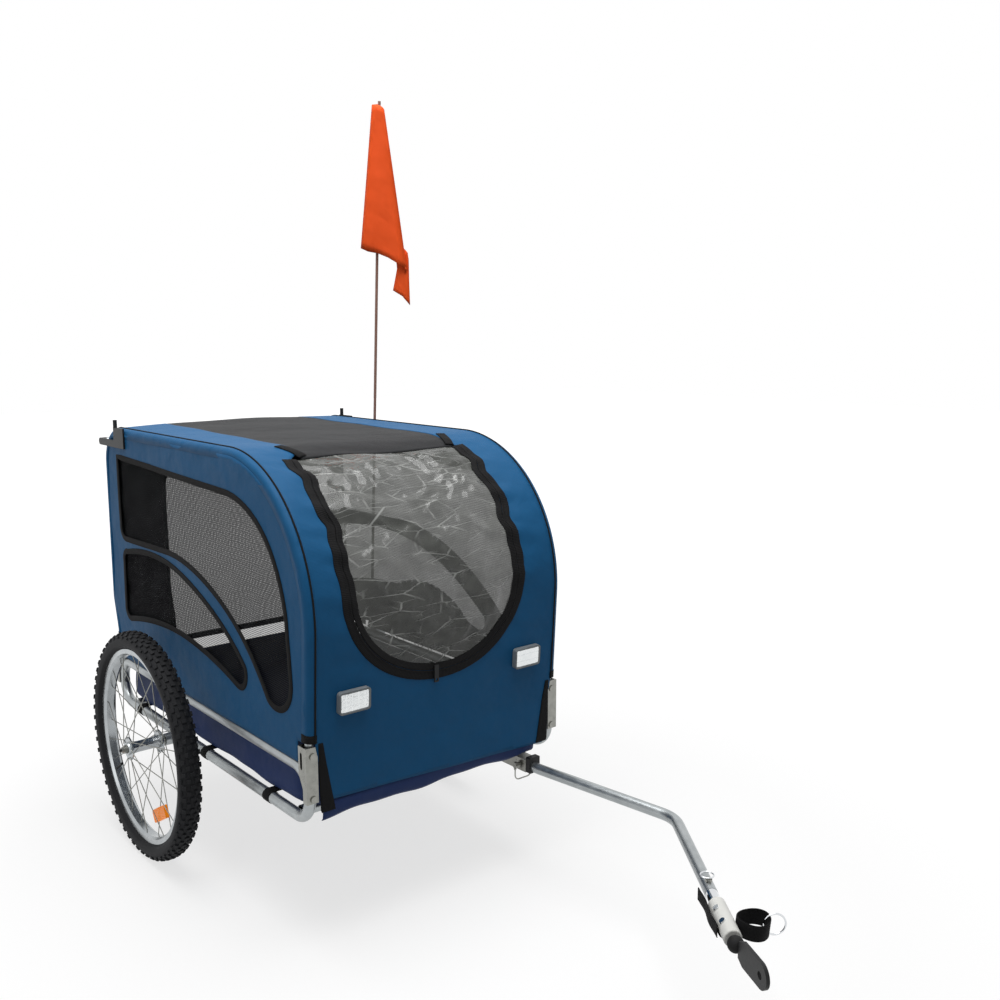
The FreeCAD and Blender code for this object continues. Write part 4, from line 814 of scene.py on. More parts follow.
# %% Cutting and laying cloth
def inside(points, loop):
    """Even-odd test of flat points against one closed outline."""
    x, y = points[:, :1], points[:, 1:]
    x0, y0 = loop.T
    x1, y1 = np.roll(loop, -1, axis=0).T
    rise = np.where(np.abs(y1 - y0) < 1e-9, 1e-9, y1 - y0)
    crossings = ((y0 > y) != (y1 > y)) & (x < x0 + (y - y0) * (x1 - x0) / rise)
    return crossings.sum(1) % 2 == 1


def settle(bm, spots, flip=False):
    """Keep the flat places as a UV map, then move every vertex to where the cloth hangs."""
    layer = bm.loops.layers.uv.new("flat")
    for face in bm.faces:
        for corner in face.loops:
            corner[layer].uv = corner.vert.co.xy * MM
    for vert, spot in zip(bm.verts, spots):
        vert.co = spot
    if flip:
        bmesh.ops.reverse_faces(bm, faces=bm.faces[:])
    return bm


def cut_cloth(outline, holes, cell, lay, flip=False):
    low, high = outline.min(0), outline.max(0)
    steps = np.ceil((high - low) / cell).astype(int)
    bm = bmesh.new()
    place = Matrix.Translation((*(low + high) / 2, 0)) @ Matrix.Diagonal((*(high - low), 1, 1))
    bmesh.ops.create_grid(bm, x_segments=int(steps[0]), y_segments=int(steps[1]), size=0.5, matrix=place)
    centres = np.array([face.calc_center_median()[:2] for face in bm.faces])
    keep = inside(centres, outline)
    for hole in holes:
        keep &= ~inside(centres, hole)
    bmesh.ops.delete(bm, geom=[f for f, kept in zip(bm.faces[:], keep) if not kept], context="FACES")
    rim = [v for v in bm.verts if v.is_boundary]
    spots, _ = nearest_on(np.array([v.co[:2] for v in rim]), [outline, *holes])
    for vert, spot in zip(rim, spots):
        vert.co.xy = spot
    beside = {e.other_vert(v) for v in rim for e in v.link_edges}
    inner = [v for v in beside if not v.is_boundary]
    bmesh.ops.smooth_vert(bm, verts=inner, factor=0.5, use_axis_x=True, use_axis_y=True)
    return settle(bm, lay(np.array([v.co[:2] for v in bm.verts])), flip)


def laid_grid(along, across, rows, flip=False):
    """A grid of cloth from its flat places along and across, and for each row the places where it hangs."""
    bm = bmesh.new()
    bmesh.ops.create_grid(bm, x_segments=len(along) - 1, y_segments=len(across) - 1, size=1)
    for vert, x, y in zip(bm.verts, np.tile(along, len(across)), np.repeat(across, len(along))):
        vert.co = (x, y, 0)
    return settle(bm, np.vstack(rows), flip)


def tape(line, rails, lay, closed=False, flip=False):
    """A strip along a flat line: each rail is an offset to its left and a lift off the cloth."""
    line = np.asarray(line, float)
    if closed:
        way = np.roll(line, -1, axis=0) - np.roll(line, 1, axis=0)
        line, way = (np.vstack([rows, rows[:1]]) for rows in (line, way))
    else:
        way = np.gradient(line, axis=0)
    left = np.column_stack([-way[:, 1], way[:, 0]]) / np.linalg.norm(way, axis=1)[:, None]
    rows = [lay(line + left * offset, lift) for offset, lift in rails]
    bm = laid_grid(lengths(line), [offset for offset, _ in rails], rows, flip)
    if closed:
        bmesh.ops.remove_doubles(bm, verts=bm.verts[:], dist=1e-6)
    return bm


def webbing(half, low, high):
    """The rails of a webbing strip whose edges dip over its last millimetre."""
    return [(-half, low), (1 - half, high), (half - 1, high), (half, low)]


def mirrored(right_side):
    """A closed outline from its right half, listed upwards."""
    return np.array(right_side + [(-x, s) for x, s in reversed(right_side)])


print("cloth helpers ready")

# %% [markdown]
# The blue front cloth runs from the skirt up round the door and on along both edges of the roof in one
# piece. It stops short of the hoops, where the side panels are sewn to it. Its inner face is coated
# black.

# %% Front cloth and roof strips
SEAM_HALF = 283.0
ROOF_HALF = 178.0
ROOF_END = run_rear(832.0)
SKIRT_LOW = (290.0, 268.0)
SKIRT_HALF = 262.0
BRACKET_TOP = 402.0
CELL = 7.0
CLOTH = 1.2
GAP_PAST = 50.0
GAP_STEP = 26.0
BINDING = webbing(6.5, 0.2, 1.4)

front_edge = mirrored([(-SKIRT_HALF, run_front(SKIRT_LOW[0])), (-SEAM_HALF, run_front(BRACKET_TOP)),
                       (-SEAM_HALF, ROOF_END)])
front_edge[-1, 1] = run_front(SKIRT_LOW[1])
roof_gap = np.vstack([[(-ROOF_HALF, ROOF_END + GAP_PAST), (-ROOF_HALF, DOOR_TOP + GAP_STEP)], zip_line,
                      [(ROOF_HALF, DOOR_TOP + GAP_STEP), (ROOF_HALF, ROOF_END + GAP_PAST)]])
front_cloth = new_piece("front_cloth", cut_cloth(front_edge, [roof_gap], CELL, on_cover), "blue", "base",
                        ["front_cover"], thick=CLOTH, rest=COVER_REST)
print("front cloth", len(front_cloth.data.polygons), "faces")

# %% [markdown]
# Beside each front bracket the cloth's edge is bound with black webbing, which widens towards the skirt.

# %% Corner bindings
CORNER_STRIP = [(277, BRACKET_TOP), (268, BRACKET_TOP), (244, 270), (274, 270)]
STRIP_LIFT = 1.4
STRIP_CELL = 5.0
corner_strips = bmesh.new()
for _, side in SIDES:
    strip = np.array([(side * x, run_front(z)) for x, z in CORNER_STRIP])
    take_in(corner_strips, cut_cloth(strip, [], STRIP_CELL, lambda flat: on_cover(flat, STRIP_LIFT)))
corner_bindings = new_piece("corner_bindings", corner_strips, "webbing", "base", thick=CLOTH, rest=COVER_REST)
print("corner bindings sewn")

# %% [markdown]
# The roof's middle is a black panel, sewn in between the blue strips with two plain seams and a hem over
# the door's top edge. At each end of that hem a short webbing tab holds the door when it is rolled up.

# %% Roof panel
SEAM_LAP = 3.0
HEM_LAP = 2.0
UNDERLAP = -0.6
TAB_ENDS = ((196, -316), (176, -378))
TAB_RAILS = webbing(10.0, 1.0, 2.4)
TAB_STEPS = 12
roof_edge = mirrored([(-ROOF_HALF - SEAM_LAP, DOOR_TOP + HEM_LAP), (-ROOF_HALF - SEAM_LAP, ROOF_END)])
roof_mesh = cut_cloth(roof_edge, [], CELL, lambda flat: on_cover(flat, UNDERLAP))
roof_panel = new_piece("roof_panel", roof_mesh, "black", "base", ["roof_cover"], thick=CLOTH, rest=COVER_REST)
tabs = bmesh.new()
for _, side in SIDES:
    ends = [(side * x, run_roof(y)) for x, y in TAB_ENDS]
    take_in(tabs, tape(np.linspace(*ends, TAB_STEPS), TAB_RAILS, on_cover))
door_tabs = new_piece("door_tabs", tabs, "webbing", "base", thick=CLOTH, rest=COVER_REST)
print("roof", len(roof_panel.data.polygons), "faces")

# %% [markdown]
# The rear cloth frames a tall net door, which the photograph shows through the side windows. The net is a
# loose sheet, so it ripples, and its seam is covered with webbing.

# %% Rear cloth
REAR_NET_HALF = 157.0
REAR_NET = (370.0, 800.0)
REAR_BENDS = [45.0, 14.0, 14.0, 45.0]
REAR_STEP = 14.0
REAR_SEAM = 5.0
REAR_CELL = 9.0
REAR_RIPPLE = (1.5, (21, 44), (math.inf, 37))
REAR_DEPTH = 3.0


def rear_net_line(grow=0.0):
    """The net door's closed outline in the flat, made larger by a seam's width."""
    half = REAR_NET_HALF + grow
    top, foot = run_rear(REAR_NET[1] + grow), run_rear(REAR_NET[0] - grow)
    corners = [(0, top), (-half, top), (-half, foot), (half, foot), (half, top), (0, top)]
    return rounded(corners, REAR_BENDS, REAR_STEP)[:-1]


def net_door(flat):
    return on_cover(flat, ripples(*flat.T, *REAR_RIPPLE) - REAR_DEPTH)


rear_edge = mirrored([(-SEAM_HALF, ROOF_END), (-SEAM_HALF, run_rear(BRACKET_TOP)), (-SKIRT_HALF, run[-1])])
rear_cloth = new_piece("rear_cloth", cut_cloth(rear_edge, [rear_net_line()], CELL, on_cover), "blue", "base",
                       ["rear_cover"], thick=CLOTH, rest=COVER_REST)
net_mesh = cut_cloth(rear_net_line(REAR_SEAM), [], REAR_CELL, net_door)
rear_net = new_piece("rear_net", net_mesh, "net", "base", rest=COVER_REST)
binding_mesh = tape(rear_net_line(), BINDING, on_cover, closed=True)
rear_binding = new_piece("rear_net_binding", binding_mesh, "webbing", "base", rest=COVER_REST)
print("rear", len(rear_cloth.data.polygons), "faces")

# %% [markdown]
# The door is one sheet of clear film inside the zip. It was stored folded, so it is crumpled: ridges of
# noise lift it by a few millimetres, fading to nothing at the zip where it is sewn.

# %% Clear door
ZIP_HALF = 12.0
FILM_CELL = 4.5
FILM_DEPTH = 1.0
CRUMPLE = 5.0
CRUMPLE_FADE = 40.0
BROAD = (95, 75, 1.7)
RIDGE = (42, 38, 5.2)
FINE = (19, 23, 9.1)
FOLD_SHARES = (1.4, 0.8, 0.3)
film_line = door_line(ZIP_HALF)


def folds(x, s, size):
    """Smooth noise over the flat film, with folds so many millimetres wide and long; size ends in a seed."""
    return noise.noise(Vector((x / size[0], s / size[1], size[2])))


def ridges(value):
    return 1 - 2 * abs(value)


def crumpled(flat):
    edge = np.clip(nearest_on(flat, [film_line])[1] / CRUMPLE_FADE, 0, 1)
    lift = []
    for x, s in flat:
        broad = folds(x, s, BROAD)
        ridge = ridges(folds(x + broad * RIDGE[0], s - broad * RIDGE[1], RIDGE))
        fine = ridges(folds(x, s + broad * FINE[1], FINE))
        lift.append(np.dot(FOLD_SHARES, (broad, ridge, fine)))
    return on_cover(flat, np.array(lift) * edge * CRUMPLE - FILM_DEPTH)


door_film = new_piece("door_film", cut_cloth(film_line, [], FILM_CELL, crumpled), "film", "door",
                      ["door_window"], rest=DOOR_REST)
print("door film", len(door_film.data.polygons), "faces")

# %% [markdown]
# The zip is two tapes with a coil of teeth where they meet. One tape is sewn to the front cloth, and the
# other to the door, so the door takes its own half along when it opens. Each tape is a flat strip with a
# rounded edge.

# %% Zip
OUTER_TAPE = [(0.4, 2.2), (3.2, 2.6), (4.2, 1.6), (8.5, 2.2), (12.5, 1.6), (16.5, 1.8), (18.0, 0.2)]
INNER_TAPE = [(-13.5, 0.0), (-12.0, 1.4), (-4.2, 1.6), (-3.2, 2.6), (-0.4, 2.2)]
ZIP_TAPE = 1.0


def zip_tape(rails):
    """A tape along the zip, with its offsets counted away from the door."""
    return tape(zip_line, [(-offset, lift) for offset, lift in reversed(rails)], on_cover)


outer_zip = new_piece("zip_tape_outer", zip_tape(OUTER_TAPE), "zip", "base", thick=ZIP_TAPE, rest=COVER_REST)
inner_zip = new_piece("zip_tape_inner", zip_tape(INNER_TAPE), "door_zip", "door", ["door_zip"],
                      thick=ZIP_TAPE, rest=DOOR_REST)
folds_down(frame["nodes"]["zip_pull"])
as_sheet(front_cloth)
as_sheet(roof_panel)
as_sheet(rear_cloth)
as_sheet(rear_net)
as_sheet(door_film)
print("zip tapes", len(zip_line), "steps")

# %% [markdown]
# Each side panel is a flat cloth with two windows. Their outlines are arcs and straight runs, drawn as
# places along the trailer and heights above the floor.

# %% Window outlines
SPACING = 20.0


def arc_through(first, middle, last, steps=16):
    """Points on the circle through three flat points."""
    (ax, ay), (bx, by), (cx, cy) = first, middle, last
    turn = 2 * (ax * (by - cy) + bx * (cy - ay) + cx * (ay - by))
    a2, b2, c2 = ax * ax + ay * ay, bx * bx + by * by, cx * cx + cy * cy
    centre = np.array([(a2 * (by - cy) + b2 * (cy - ay) + c2 * (ay - by)) / turn,
                       (a2 * (cx - bx) + b2 * (ax - cx) + c2 * (bx - ax)) / turn])
    angles = [math.atan2(*(np.array(p) - centre)[::-1]) for p in (first, middle, last)]
    sweep = (angles[2] - angles[0]) % (2 * math.pi)
    if (angles[1] - angles[0]) % (2 * math.pi) > sweep:
        sweep -= 2 * math.pi
    radius = np.linalg.norm(np.array(first) - centre)
    turns = angles[0] + sweep * np.linspace(0, 1, steps + 1)
    return [centre + radius * np.array([math.cos(a), math.sin(a)]) for a in turns]


def window_loop(stretches):
    """A closed outline from stretches: a start alone is a straight run, a start and a middle an arc."""
    spots = []
    for stretch, following in zip(stretches, stretches[1:] + stretches[:1]):
        places = [*stretch, following[0]]
        if len(places) == 3:
            spots += arc_through(*places)[:-1]
        else:
            first, last = np.array(places, float)
            count = max(1, int(np.linalg.norm(last - first) / SPACING))
            spots += [first + (last - first) * k / count for k in range(count)]
    return np.array(spots)


UPPER_WINDOW = [[(258, 843)], [(-283, 822.5), (-443.9, 757.3)], [(-515, 590)], [(-525, 505), (-497, 449)],
                [(-440, 452), (-270, 592)], [(-11, 660)], [(225, 655), (249, 664)], [(254, 690)]]
LOWER_WINDOW = [[(225, 626), (-97, 617)], [(-345, 490), (-345, 457)], [(-313, 446), (-40, 493)],
                [(215, 470), (243, 477)], [(248, 500)], [(248, 600), (243, 620)]]
windows = [window_loop(UPPER_WINDOW), window_loop(LOWER_WINDOW)]
print("windows", [len(loop) for loop in windows], "points")

# %% [markdown]
# The panel's cloth is stretched flat by the hoop, with a faint pillow between the seams. Its edge rolls
# round the hoop and meets the front and roof cloth at a piped seam on top. The roll is a strip whose
# rails follow a quarter circle, and black cuffs close it at both feet of the hoop.

# %% Side panels
PANEL_FACE = 297.6
PANEL_INSET = 22.0
PILLOW = (1.2, (70, 90), (-130, 60))
ROLL = 12.0
ROLL_ANGLES = np.radians(np.linspace(15, 90, 6))
SEAM_TUCK = 3.0
ROLL_TAIL = 10.0
ROLL_LIFT = 0.3
SLEEVE = 1.0
CUFF = 0.8
CUFF_PROUD = 0.9
CUFF_STEPS = 4
FLAG_BACK = 139.0
FLAG_ROOM = 14.0
over_hoop = (run >= run_front(BRACKET_TOP)) & (run <= run_rear(BRACKET_TOP))
hoop_line = profile[over_hoop]
hoop_out = outward[over_hoop]


def panel_edge(side):
    """The panel's outline. The left one has a notch in its hem, so that it folds past the flag's socket."""
    rear, front = REAR - PANEL_INSET, FRONT + PANEL_INSET
    notch = [(FLAG_BACK + FLAG_ROOM, HEM), (FLAG_BACK + FLAG_ROOM, HEM + FLAG_ROOM),
             (FLAG_BACK - FLAG_ROOM, HEM + FLAG_ROOM), (FLAG_BACK - FLAG_ROOM, HEM)]
    hem = [(rear, BRACKET_TOP), (rear, HEM), *(notch if side > 0 else []), (front, HEM), (front, BRACKET_TOP)]
    return np.vstack([hoop_line - hoop_out * (ROLL + 1), hem])


def on_side(side):
    """How to lay flat points (along, up) on a side of the cabin."""
    def lay(flat, lift=0.0):
        along, up = flat.T
        return to_row(np.column_stack([side * (PANEL_FACE + lift + ripples(along, up, *PILLOW)), along, up]))
    return lay


def roll_rails(proud):
    """Round the hoop from the piped seam on top to the flat of the panel, so far proud of it."""
    turned = PANEL_FACE - ROLL
    reach = ROLL + proud
    quarter = [(turned + reach * math.sin(a), ROLL - reach * math.cos(a)) for a in ROLL_ANGLES]
    return [(SEAM_HALF - SEAM_TUCK, -proud), (turned, -proud), *quarter,
            (PANEL_FACE + proud + ROLL_LIFT, ROLL + ROLL_TAIL)]


def rolled_edge(side, part=slice(None), proud=0.0):
    """The strip that wraps a part of the hoop, from rails of (across, depth below the outline)."""
    line, out = hoop_line[part], hoop_out[part]
    rails = roll_rails(proud)
    rows = [to_row(np.column_stack([np.full(len(line), side * across), line - out * depth]))
            for across, depth in rails]
    return laid_grid(lengths(line), lengths(rails), rows, flip=side > 0)


def side_panel(side_name, side):
    body = side_name + "_frame"
    cloth = cut_cloth(panel_edge(side), windows, CELL, on_side(side), flip=side < 0)
    panel = new_piece(side_name + "_panel_cloth", cloth, "blue", body, [side_name + "_side_panel"],
                      thick=CLOTH)
    roll = new_piece(side_name + "_hoop_sleeve", rolled_edge(side), "blue", body, thick=SLEEVE)
    cuffs = rolled_edge(side, slice(CUFF_STEPS), CUFF_PROUD)
    take_in(cuffs, rolled_edge(side, slice(-CUFF_STEPS, None), CUFF_PROUD))
    trims = [roll, new_piece(side_name + "_sleeve_cuffs", cuffs, "webbing", body, thick=CUFF)]
    for number, loop in enumerate(windows):
        strip = tape(loop, BINDING, on_side(side), closed=True, flip=side < 0)
        trims.append(new_piece(f"{side_name}_window_binding_{number}", strip, "webbing", body))
    as_sheet(panel)


for side_name, side in SIDES:
    side_panel(side_name, side)
print("side panels made")

# %% [markdown]
# The net is one loose sheet behind both windows of a side. It hangs in soft ripples.

# %% Window nets
NET_FACE = 291.5
NET_CELL = 8.0
NET_SLACK = 2.5
NET_WAVES = (1.6, (17, 40), (math.inf, 55))
NET_SLANT = (1.2, 31, 13)
net_edge = window_loop([[(292, 868)], [(-290, 868), (-492, 785)], [(-572, 600)], [(-560, 432)], [(292, 432)]])


def net_lay(side):
    """How to lay flat points (along, up) as a net behind a side's windows."""
    def lay(flat):
        along, up = flat.T
        height, along_wave, up_wave = NET_SLANT
        wave = ripples(along, up, *NET_WAVES) + height * np.sin(up / up_wave + along / along_wave)
        return to_row(np.column_stack([side * (NET_FACE + np.clip(wave, -NET_SLACK, NET_SLACK)), along, up]))
    return lay


for side_name, side in SIDES:
    mesh = cut_cloth(net_edge, [], NET_CELL, net_lay(side), flip=side < 0)
    side_net = new_piece(side_name + "_net", mesh, "net", side_name + "_frame", [side_name + "_window_net"])
    as_sheet(side_net)
print("nets made")

# %% [markdown]
# Piping closes the seam along each hoop: a cord sewn into a folded strip of cloth. It is drawn as a thin
# round bead on a curve and turned into a mesh.

# %% Seam piping
PIPING = 1.9
PIPING_OUT = 0.5
PIPING_LIFT = 0.4


def bead(name, spots, body):
    """A round bead along points of the row frame."""
    curve = bpy.data.curves.new(name, "CURVE")
    curve.dimensions = "3D"
    curve.bevel_depth = PIPING * MM
    curve.bevel_resolution = 2
    line = curve.splines.new("POLY")
    line.points.add(len(spots) - 1)
    for point, spot in zip(line.points, spots):
        point.co = (*spot, 1)
    drawn = put(name + "_line", curve)
    bpy.context.view_layer.update()
    mesh = bpy.data.meshes.new_from_object(drawn)
    bpy.data.objects.remove(drawn)
    bm = bmesh.new()
    bm.from_mesh(mesh)
    bpy.data.meshes.remove(mesh)
    new_piece(name, bm, "piping", body)


for side_name, side in SIDES:
    across = np.full(len(hoop_line), side * (SEAM_HALF + PIPING_OUT))
    seam = to_row(np.column_stack([across, hoop_line + hoop_out * PIPING_LIFT]))
    bead(side_name + "_seam_piping", seam, side_name + "_frame")
print("piping sewn")

# %% [markdown]
# The floor is a tray of navy cloth hung between the rails, with its rim under the cabin's hem. Its walls
# sag outwards a little, and between two straps its lower side edge is drawn up.

# %% Floor tub
TUB_HALF = 280.0
TUB_ENDS = (-547.0, 296.0)
TUB_CORNER = 50.0
TUB_STEPS = 150
TUB_PITCH = 18.2
TUB_RINGS = [(0.0, 341.0), (1.5, 328.0), (3.0, 312.0), (4.0, 297.0), (4.0, 284.0), (3.0, 275.0), (0.0, 268.0),
             (-8.0, 264.5), (-22.0, 263.5)]
TUB_WAVES = (23, 15, 31, 47)
TUB_SWELL = 1.6 / 300
TUB_CLOTH = 1.5
FLOOR_BELOW = 0.3
STRAP_PLACES = [-548.0, -414.0, -141.0, 200.0, 297.0]
EDGE_RISE = 5.0
EDGE_FADE = (300.0, 34.0)
SIDE_FADE = (200.0, 50.0)


def lifted_edge(ring, height):
    """How far each point of a ring is drawn up between its straps."""
    place = np.interp(ring[:, 1], STRAP_PLACES, range(len(STRAP_PLACES)))
    low_down = np.clip((EDGE_FADE[0] - height) / EDGE_FADE[1], 0, 1)
    sideways = np.clip((np.abs(ring[:, 0]) - SIDE_FADE[0]) / SIDE_FADE[1], 0, 1)
    return EDGE_RISE * low_down * sideways * np.abs(np.sin(math.pi * place))


def tub_ring(bulge, height):
    half = TUB_HALF + bulge
    front, rear = TUB_ENDS[0] - bulge / 2, TUB_ENDS[1] + bulge / 2
    corners = [(0, front), (half, front), (half, rear), (-half, rear), (-half, front), (0, front)]
    dense = rounded(corners, [TUB_CORNER] * 4)
    along = lengths(dense)
    shares = np.linspace(0, along[-1], TUB_STEPS)
    ring = np.column_stack([np.interp(shares, along, dense[:, k]) for k in (0, 1)])
    x, y = ring.T
    ripple = np.sin(y / TUB_WAVES[0] + height / TUB_WAVES[1]) * np.sin(x / TUB_WAVES[2] + y / TUB_WAVES[3])
    return to_row(np.column_stack([x * (1 + TUB_SWELL * ripple), y, height + lifted_edge(ring, height)]))


depths = [TUB_RINGS[0][1] - height for _, height in TUB_RINGS]
tub = laid_grid(np.arange(TUB_STEPS) * TUB_PITCH, depths, [tub_ring(*ring) for ring in TUB_RINGS])
bmesh.ops.remove_doubles(tub, verts=tub.verts[:], dist=1e-5)
low_edges = [e for e in tub.edges if e.is_boundary and max(v.co.z for v in e.verts) < FLOOR_BELOW]
bmesh.ops.triangle_fill(tub, edges=low_edges, use_beauty=True)
bmesh.ops.recalc_face_normals(tub, faces=tub.faces[:])
floor_tub = new_piece("floor_tray", tub, "navy", "base", ["floor_tub"], thick=TUB_CLOTH)
print("floor tray", len(floor_tub.data.polygons), "faces")

# %% [markdown]
# A strip of the tray's cloth hangs below the front skirt, with a wavy lower edge.

# %% Front valance
VALANCE_ENDS = (-268.0, 240.0)
VALANCE_STEPS = 60
VALANCE_RUN = run_front(286.0)
VALANCE_RAILS = [(0.0, -2.0), (-10.0, -2.2), (-20.0, -2.6), (-28.0, -4.0), (-33.0, -8.0)]
VALANCE_WAVES = ((2.5, 38, 0), (1.2, 17, 1))
VALANCE_DROP = 30.0
VALANCE_CLOTH = 1.0
valance_line = np.linspace(*((x, VALANCE_RUN) for x in VALANCE_ENDS), VALANCE_STEPS)


def under_skirt(flat, lift=0.0):
    wave = sum(far * np.sin(flat[:, 0] / length + phase) for far, length, phase in VALANCE_WAVES)
    drop = np.clip((VALANCE_RUN - flat[:, 1]) / VALANCE_DROP, 0, 1)
    spots = on_cover(flat, lift)
    spots[:, 2] += wave * drop * MM
    return spots


valance_mesh = tape(valance_line, VALANCE_RAILS, under_skirt, flip=True)
valance = new_piece("front_valance", valance_mesh, "navy", "base", thick=VALANCE_CLOTH)
as_sheet(valance)
print("valance hung")

# %% [markdown]
# Six webbing straps hold the tray to the lower rails: each is sewn under the tray's floor and goes once
# round the tube. A strip is laid flat and then wrapped, so its ribs run across it.

# %% Floor straps
RAIL_HEIGHT = 251.0
STRAP_TURN = 11.9
STRAP_TAB = 38.0
STRAP_HALF_TURNS = 1.93
STRAP_STEPS = 60
STRAP_CLOTH = 1.3
STRAP_EDGE = [(-12.5, -0.5), (-11.5, 0.2), (0.0, 0.4), (11.5, 0.2), (12.5, -0.5)]


def strip_line(length, steps):
    return np.column_stack([np.linspace(0, length, steps), np.zeros(steps)])


def wrapped(side, ahead):
    """How to lay a strip (along, across) under the tray and round a lower rail."""
    def lay(flat, lift=0.0):
        along, across = flat.T
        turn = np.clip(along - STRAP_TAB, 0, None) / STRAP_TURN
        reach = STRAP_TURN + lift
        x = HOOP_HALF - np.clip(STRAP_TAB - along, 0, None) + reach * np.sin(turn)
        return to_row(np.column_stack([side * x, ahead + across, RAIL_HEIGHT + reach * np.cos(turn)]))
    return lay


straps = bmesh.new()
strap_line = strip_line(STRAP_TAB + STRAP_HALF_TURNS * math.pi * STRAP_TURN, STRAP_STEPS)
for _, side in SIDES:
    for ahead in STRAP_PLACES[1:-1]:
        take_in(straps, tape(strap_line, STRAP_EDGE, wrapped(side, ahead), flip=side < 0))
new_piece("floor_webbing", straps, "webbing", "base", ["floor_straps"], thick=STRAP_CLOTH)
print("floor straps wrapped")

# %% [markdown]
# A safety strap of the same webbing goes under the hitch's white sleeve. On its left it makes a loose
# loop beside the wire ring, and its free end lies back along the bar on the right.

# %% Safety strap
LOOP_LOW, LOOP_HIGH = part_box("safety_strap")
TOW_TURN = math.radians(37)
TOW_WAY = Vector((-math.sin(TOW_TURN), -math.cos(TOW_TURN), 0))
TOW_LEFT = Vector((0, 0, 1)).cross(TOW_WAY)
LOOP_MIDDLE = (LOOP_LOW + LOOP_HIGH) / 2
LOOP_RADIUS = (LOOP_HIGH.x - LOOP_LOW.x) / 2 / MM - 1.0
LOOP_WOBBLE = 1.3
LOOP_LEAN = 0.1
SLEEVE_GAP = 16.4
SLEEVE_AXIS = -LOOP_RADIUS - SLEEVE_GAP
LOOP_STEPS = 72
UNDER_STEPS = 24
END_STEPS = 30
END_START = 12.0
END_LENGTH = 112.0
END_SLACK = 2.5
END_WAVE = 24.0
END_NARROW = 0.8
END_DROP = 2.0
TETHER_CLOTH = 1.4
TETHER_EDGE = webbing((LOOP_HIGH.z - LOOP_LOW.z) / 2 / MM, -0.4, 0.3)


def beside_sleeve(along, left, up):
    return LOOP_MIDDLE + TOW_WAY * (along * MM) + TOW_LEFT * (left * MM) + Vector((0, 0, up * MM))


def tether_loop(flat, lift=0.0):
    """The loop: round, a little squashed, its edge leaning as it goes."""
    angle = flat[:, 0] / LOOP_RADIUS
    reach = LOOP_RADIUS + lift + LOOP_WOBBLE * (np.sin(3 * angle + 1) - 1)
    reach = reach + flat[:, 1] * LOOP_LEAN * np.sin(angle)
    return [beside_sleeve(r * math.cos(a), r * math.sin(a), up) for r, a, up in zip(reach, angle, flat[:, 1])]


def tether_under(flat, lift=0.0):
    """Under the sleeve from its left to its right."""
    reach = SLEEVE_GAP + lift
    return [beside_sleeve(across, SLEEVE_AXIS + reach * math.cos(along / SLEEVE_GAP),
                          -reach * math.sin(along / SLEEVE_GAP)) for along, across in flat]


def tether_end(flat, lift=0.0):
    """The free end on edge beside the bar, with a slack wave."""
    away = SLEEVE_AXIS - SLEEVE_GAP - lift
    return [beside_sleeve(END_START - along, away - END_SLACK * math.sin(along / END_WAVE) ** 2,
                          across * END_NARROW - END_DROP) for along, across in flat]


tether = tape(strip_line(2 * math.pi * LOOP_RADIUS, LOOP_STEPS), TETHER_EDGE, tether_loop, flip=True)
take_in(tether, tape(strip_line(math.pi * SLEEVE_GAP, UNDER_STEPS), TETHER_EDGE, tether_under, flip=True))
take_in(tether, tape(strip_line(END_LENGTH, END_STEPS), TETHER_EDGE, tether_end))
bmesh.ops.remove_doubles(tether, verts=tether.verts[:], dist=1e-5)
new_piece("safety_webbing", tether, "webbing", "base", ["safety_strap"], thick=TETHER_CLOTH)
print("safety strap looped, radius", round(LOOP_RADIUS, 1), "mm")

# %% [markdown]
# The pennant hangs limp from the pole's top in one long fold. It is a grid of cloth: its first column is
# sewn round the pole, it doubles to the left, crosses in front, and its tip folds back underneath.

# %% Pennant
POLE_LOW, POLE_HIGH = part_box("flag_pole")
VIEW_RIGHT = Vector((0.765, -0.644, 0))
VIEW_TOWARD = Vector((-0.644, -0.765, 0))
FLAG_CELL = (18.0, 15.0)
FRONT_ROWS = 24
TIP_ROWS = 12
FLAG_SWAY = 2.2
SWAY_TURN = 5.0
SWAY_STEP = 1.3
FLAG_CLOTH = 0.6
FLAG_FRONT = [((0, -5, 1664), (-2, -5, 1316)), ((-12, -3, 1663), (-24, -4, 1320)),
              ((-19, 3, 1661), (-40, 4, 1327)), ((-16, 8, 1660), (-30, 11, 1325)),
              ((-8, 9, 1660), (-2, 15, 1316)), ((0, 8, 1658), (28, 17, 1304)),
              ((6, 7, 1655), (52, 15, 1290)), ((10, 4, 1650), (74, 10, 1275)),
              ((9, 0, 1648), (66, 3, 1262)), ((6, -2, 1640), (52, -1, 1248))]
FLAG_TIP = [((58, 3, 1330), (40, 2, 1226)), ((64, 4, 1328), (52, 5, 1219)), ((70, 6, 1322), (64, 6, 1212)),
            ((75, 7, 1316), (76, 4, 1198)), ((77, 4, 1300), (83, 2, 1190))]


def flag_spot(across, toward, z):
    """A place to the right of the leaning pole and toward the camera, in the photograph's view."""
    share = (z * MM - POLE_LOW.z) / (POLE_HIGH.z - POLE_LOW.z)
    y = POLE_HIGH.y + (POLE_LOW.y - POLE_HIGH.y) * share
    pole = Vector(((POLE_LOW.x + POLE_HIGH.x) / 2, y, z * MM))
    return pole + VIEW_RIGHT * (across * MM) + VIEW_TOWARD * (toward * MM)


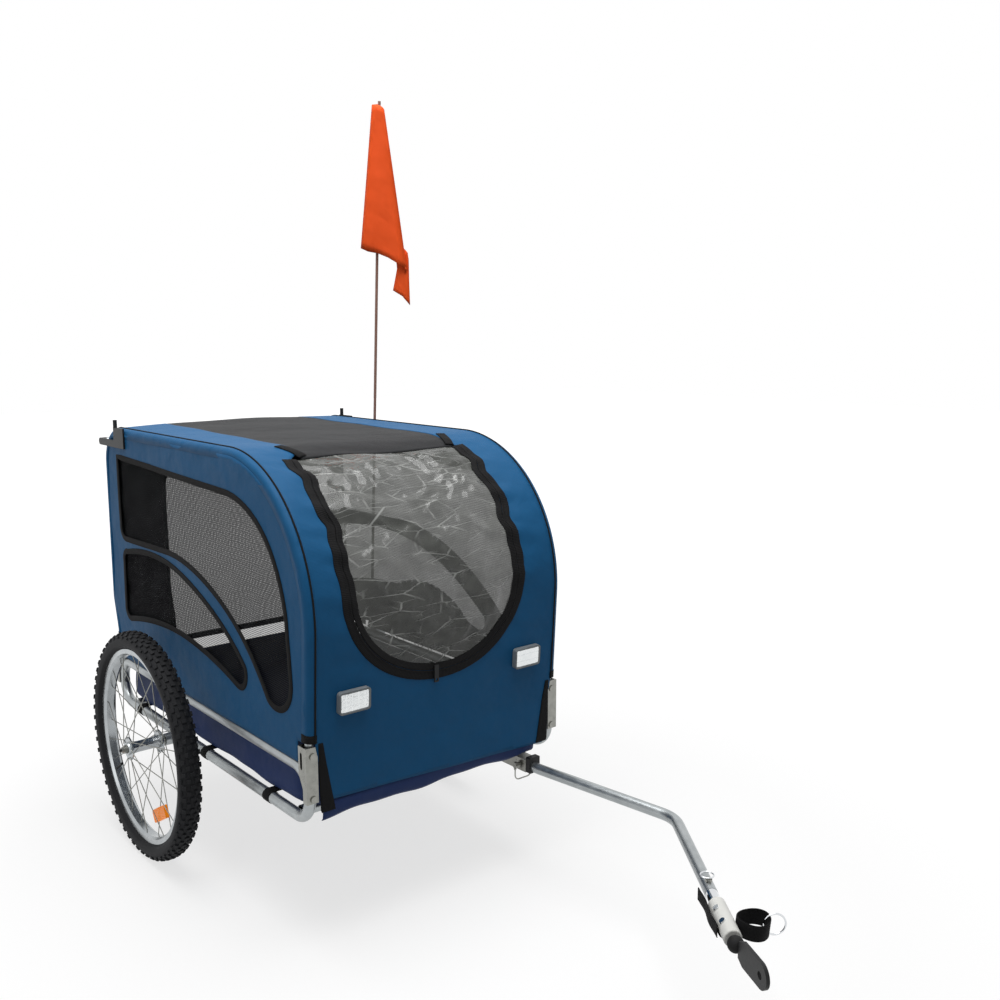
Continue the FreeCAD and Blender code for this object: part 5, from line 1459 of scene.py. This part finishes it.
def flag_row(columns, share):
    """The cloth's places at a share of the way from its top to its foot."""
    row = []
    for i, (top, foot) in enumerate(columns):
        across, toward, z = (a + (b - a) * share for a, b in zip(top, foot))
        sway = FLAG_SWAY * math.sin(share * SWAY_TURN + i * SWAY_STEP) * share
        row.append(flag_spot(across, toward + sway, z))
    return row


def flag_grid(columns, count):
    """Cloth between columns of (top, foot), each an (across, toward, height)."""
    rows = [flag_row(columns, k / count) for k in range(count + 1)]
    return laid_grid(np.arange(len(columns)) * FLAG_CELL[0], np.arange(count + 1) * FLAG_CELL[1], rows)


pennant = flag_grid(FLAG_FRONT, FRONT_ROWS)
take_in(pennant, flag_grid(FLAG_TIP, TIP_ROWS))
flag_cloth = new_piece("pennant_cloth", pennant, "nylon", "flag", ["pennant"], thick=FLAG_CLOTH)
print("pennant", len(flag_cloth.data.polygons), "faces")

# %% [markdown]
# Two clear reflectors are set in the front cloth. Each is a grey frame with a block of bright prisms in
# it: the lens face is cut in blocks, and each block is inset and raised.

# %% Front reflectors
LAMP_SIZE = (66.0, 11.0, 42.0)
LAMP_HALF = 207.0
LAMP_HEIGHT = 469.0
LAMP_GAP = 0.5
LAMP_BLOCKS = ((0, 5), (2, 3))


def front_lens(side):
    bm = framed_block(LAMP_SIZE, through=1, corner=6.0, shows=lambda normal: normal.y < -FACING, rim=3.0,
                      step=(0.6, 1.4), index=1, blocks=LAMP_BLOCKS)
    prisms = [f for f in bm.faces if f.material_index == 1]
    bmesh.ops.inset_individual(bm, faces=prisms, thickness=1.4, depth=0.9)
    slope = math.atan2(SKIRT - NOSE, TOP - HEM)
    ahead = SKIRT + (NOSE - SKIRT) * (LAMP_HEIGHT - HEM) / (TOP - HEM) - LAMP_SIZE[1] / 2 - LAMP_GAP
    spot = at(side * LAMP_HALF, ahead, LAMP_HEIGHT)
    place = Matrix.Translation(spot) @ Matrix.Rotation(slope, 4, "X") @ Matrix.Scale(MM, 4)
    bmesh.ops.transform(bm, verts=bm.verts[:], matrix=place)
    return bm


both = front_lens(-1)
take_in(both, front_lens(1))
new_piece("front_lenses", both, "clear", "base", ["front_reflectors"], smooth=False, rest=COVER_REST)
print("front reflectors made")

# %% [markdown]
# Last, the view layer is brought up to date.

# %% Finish
bpy.context.view_layer.update()
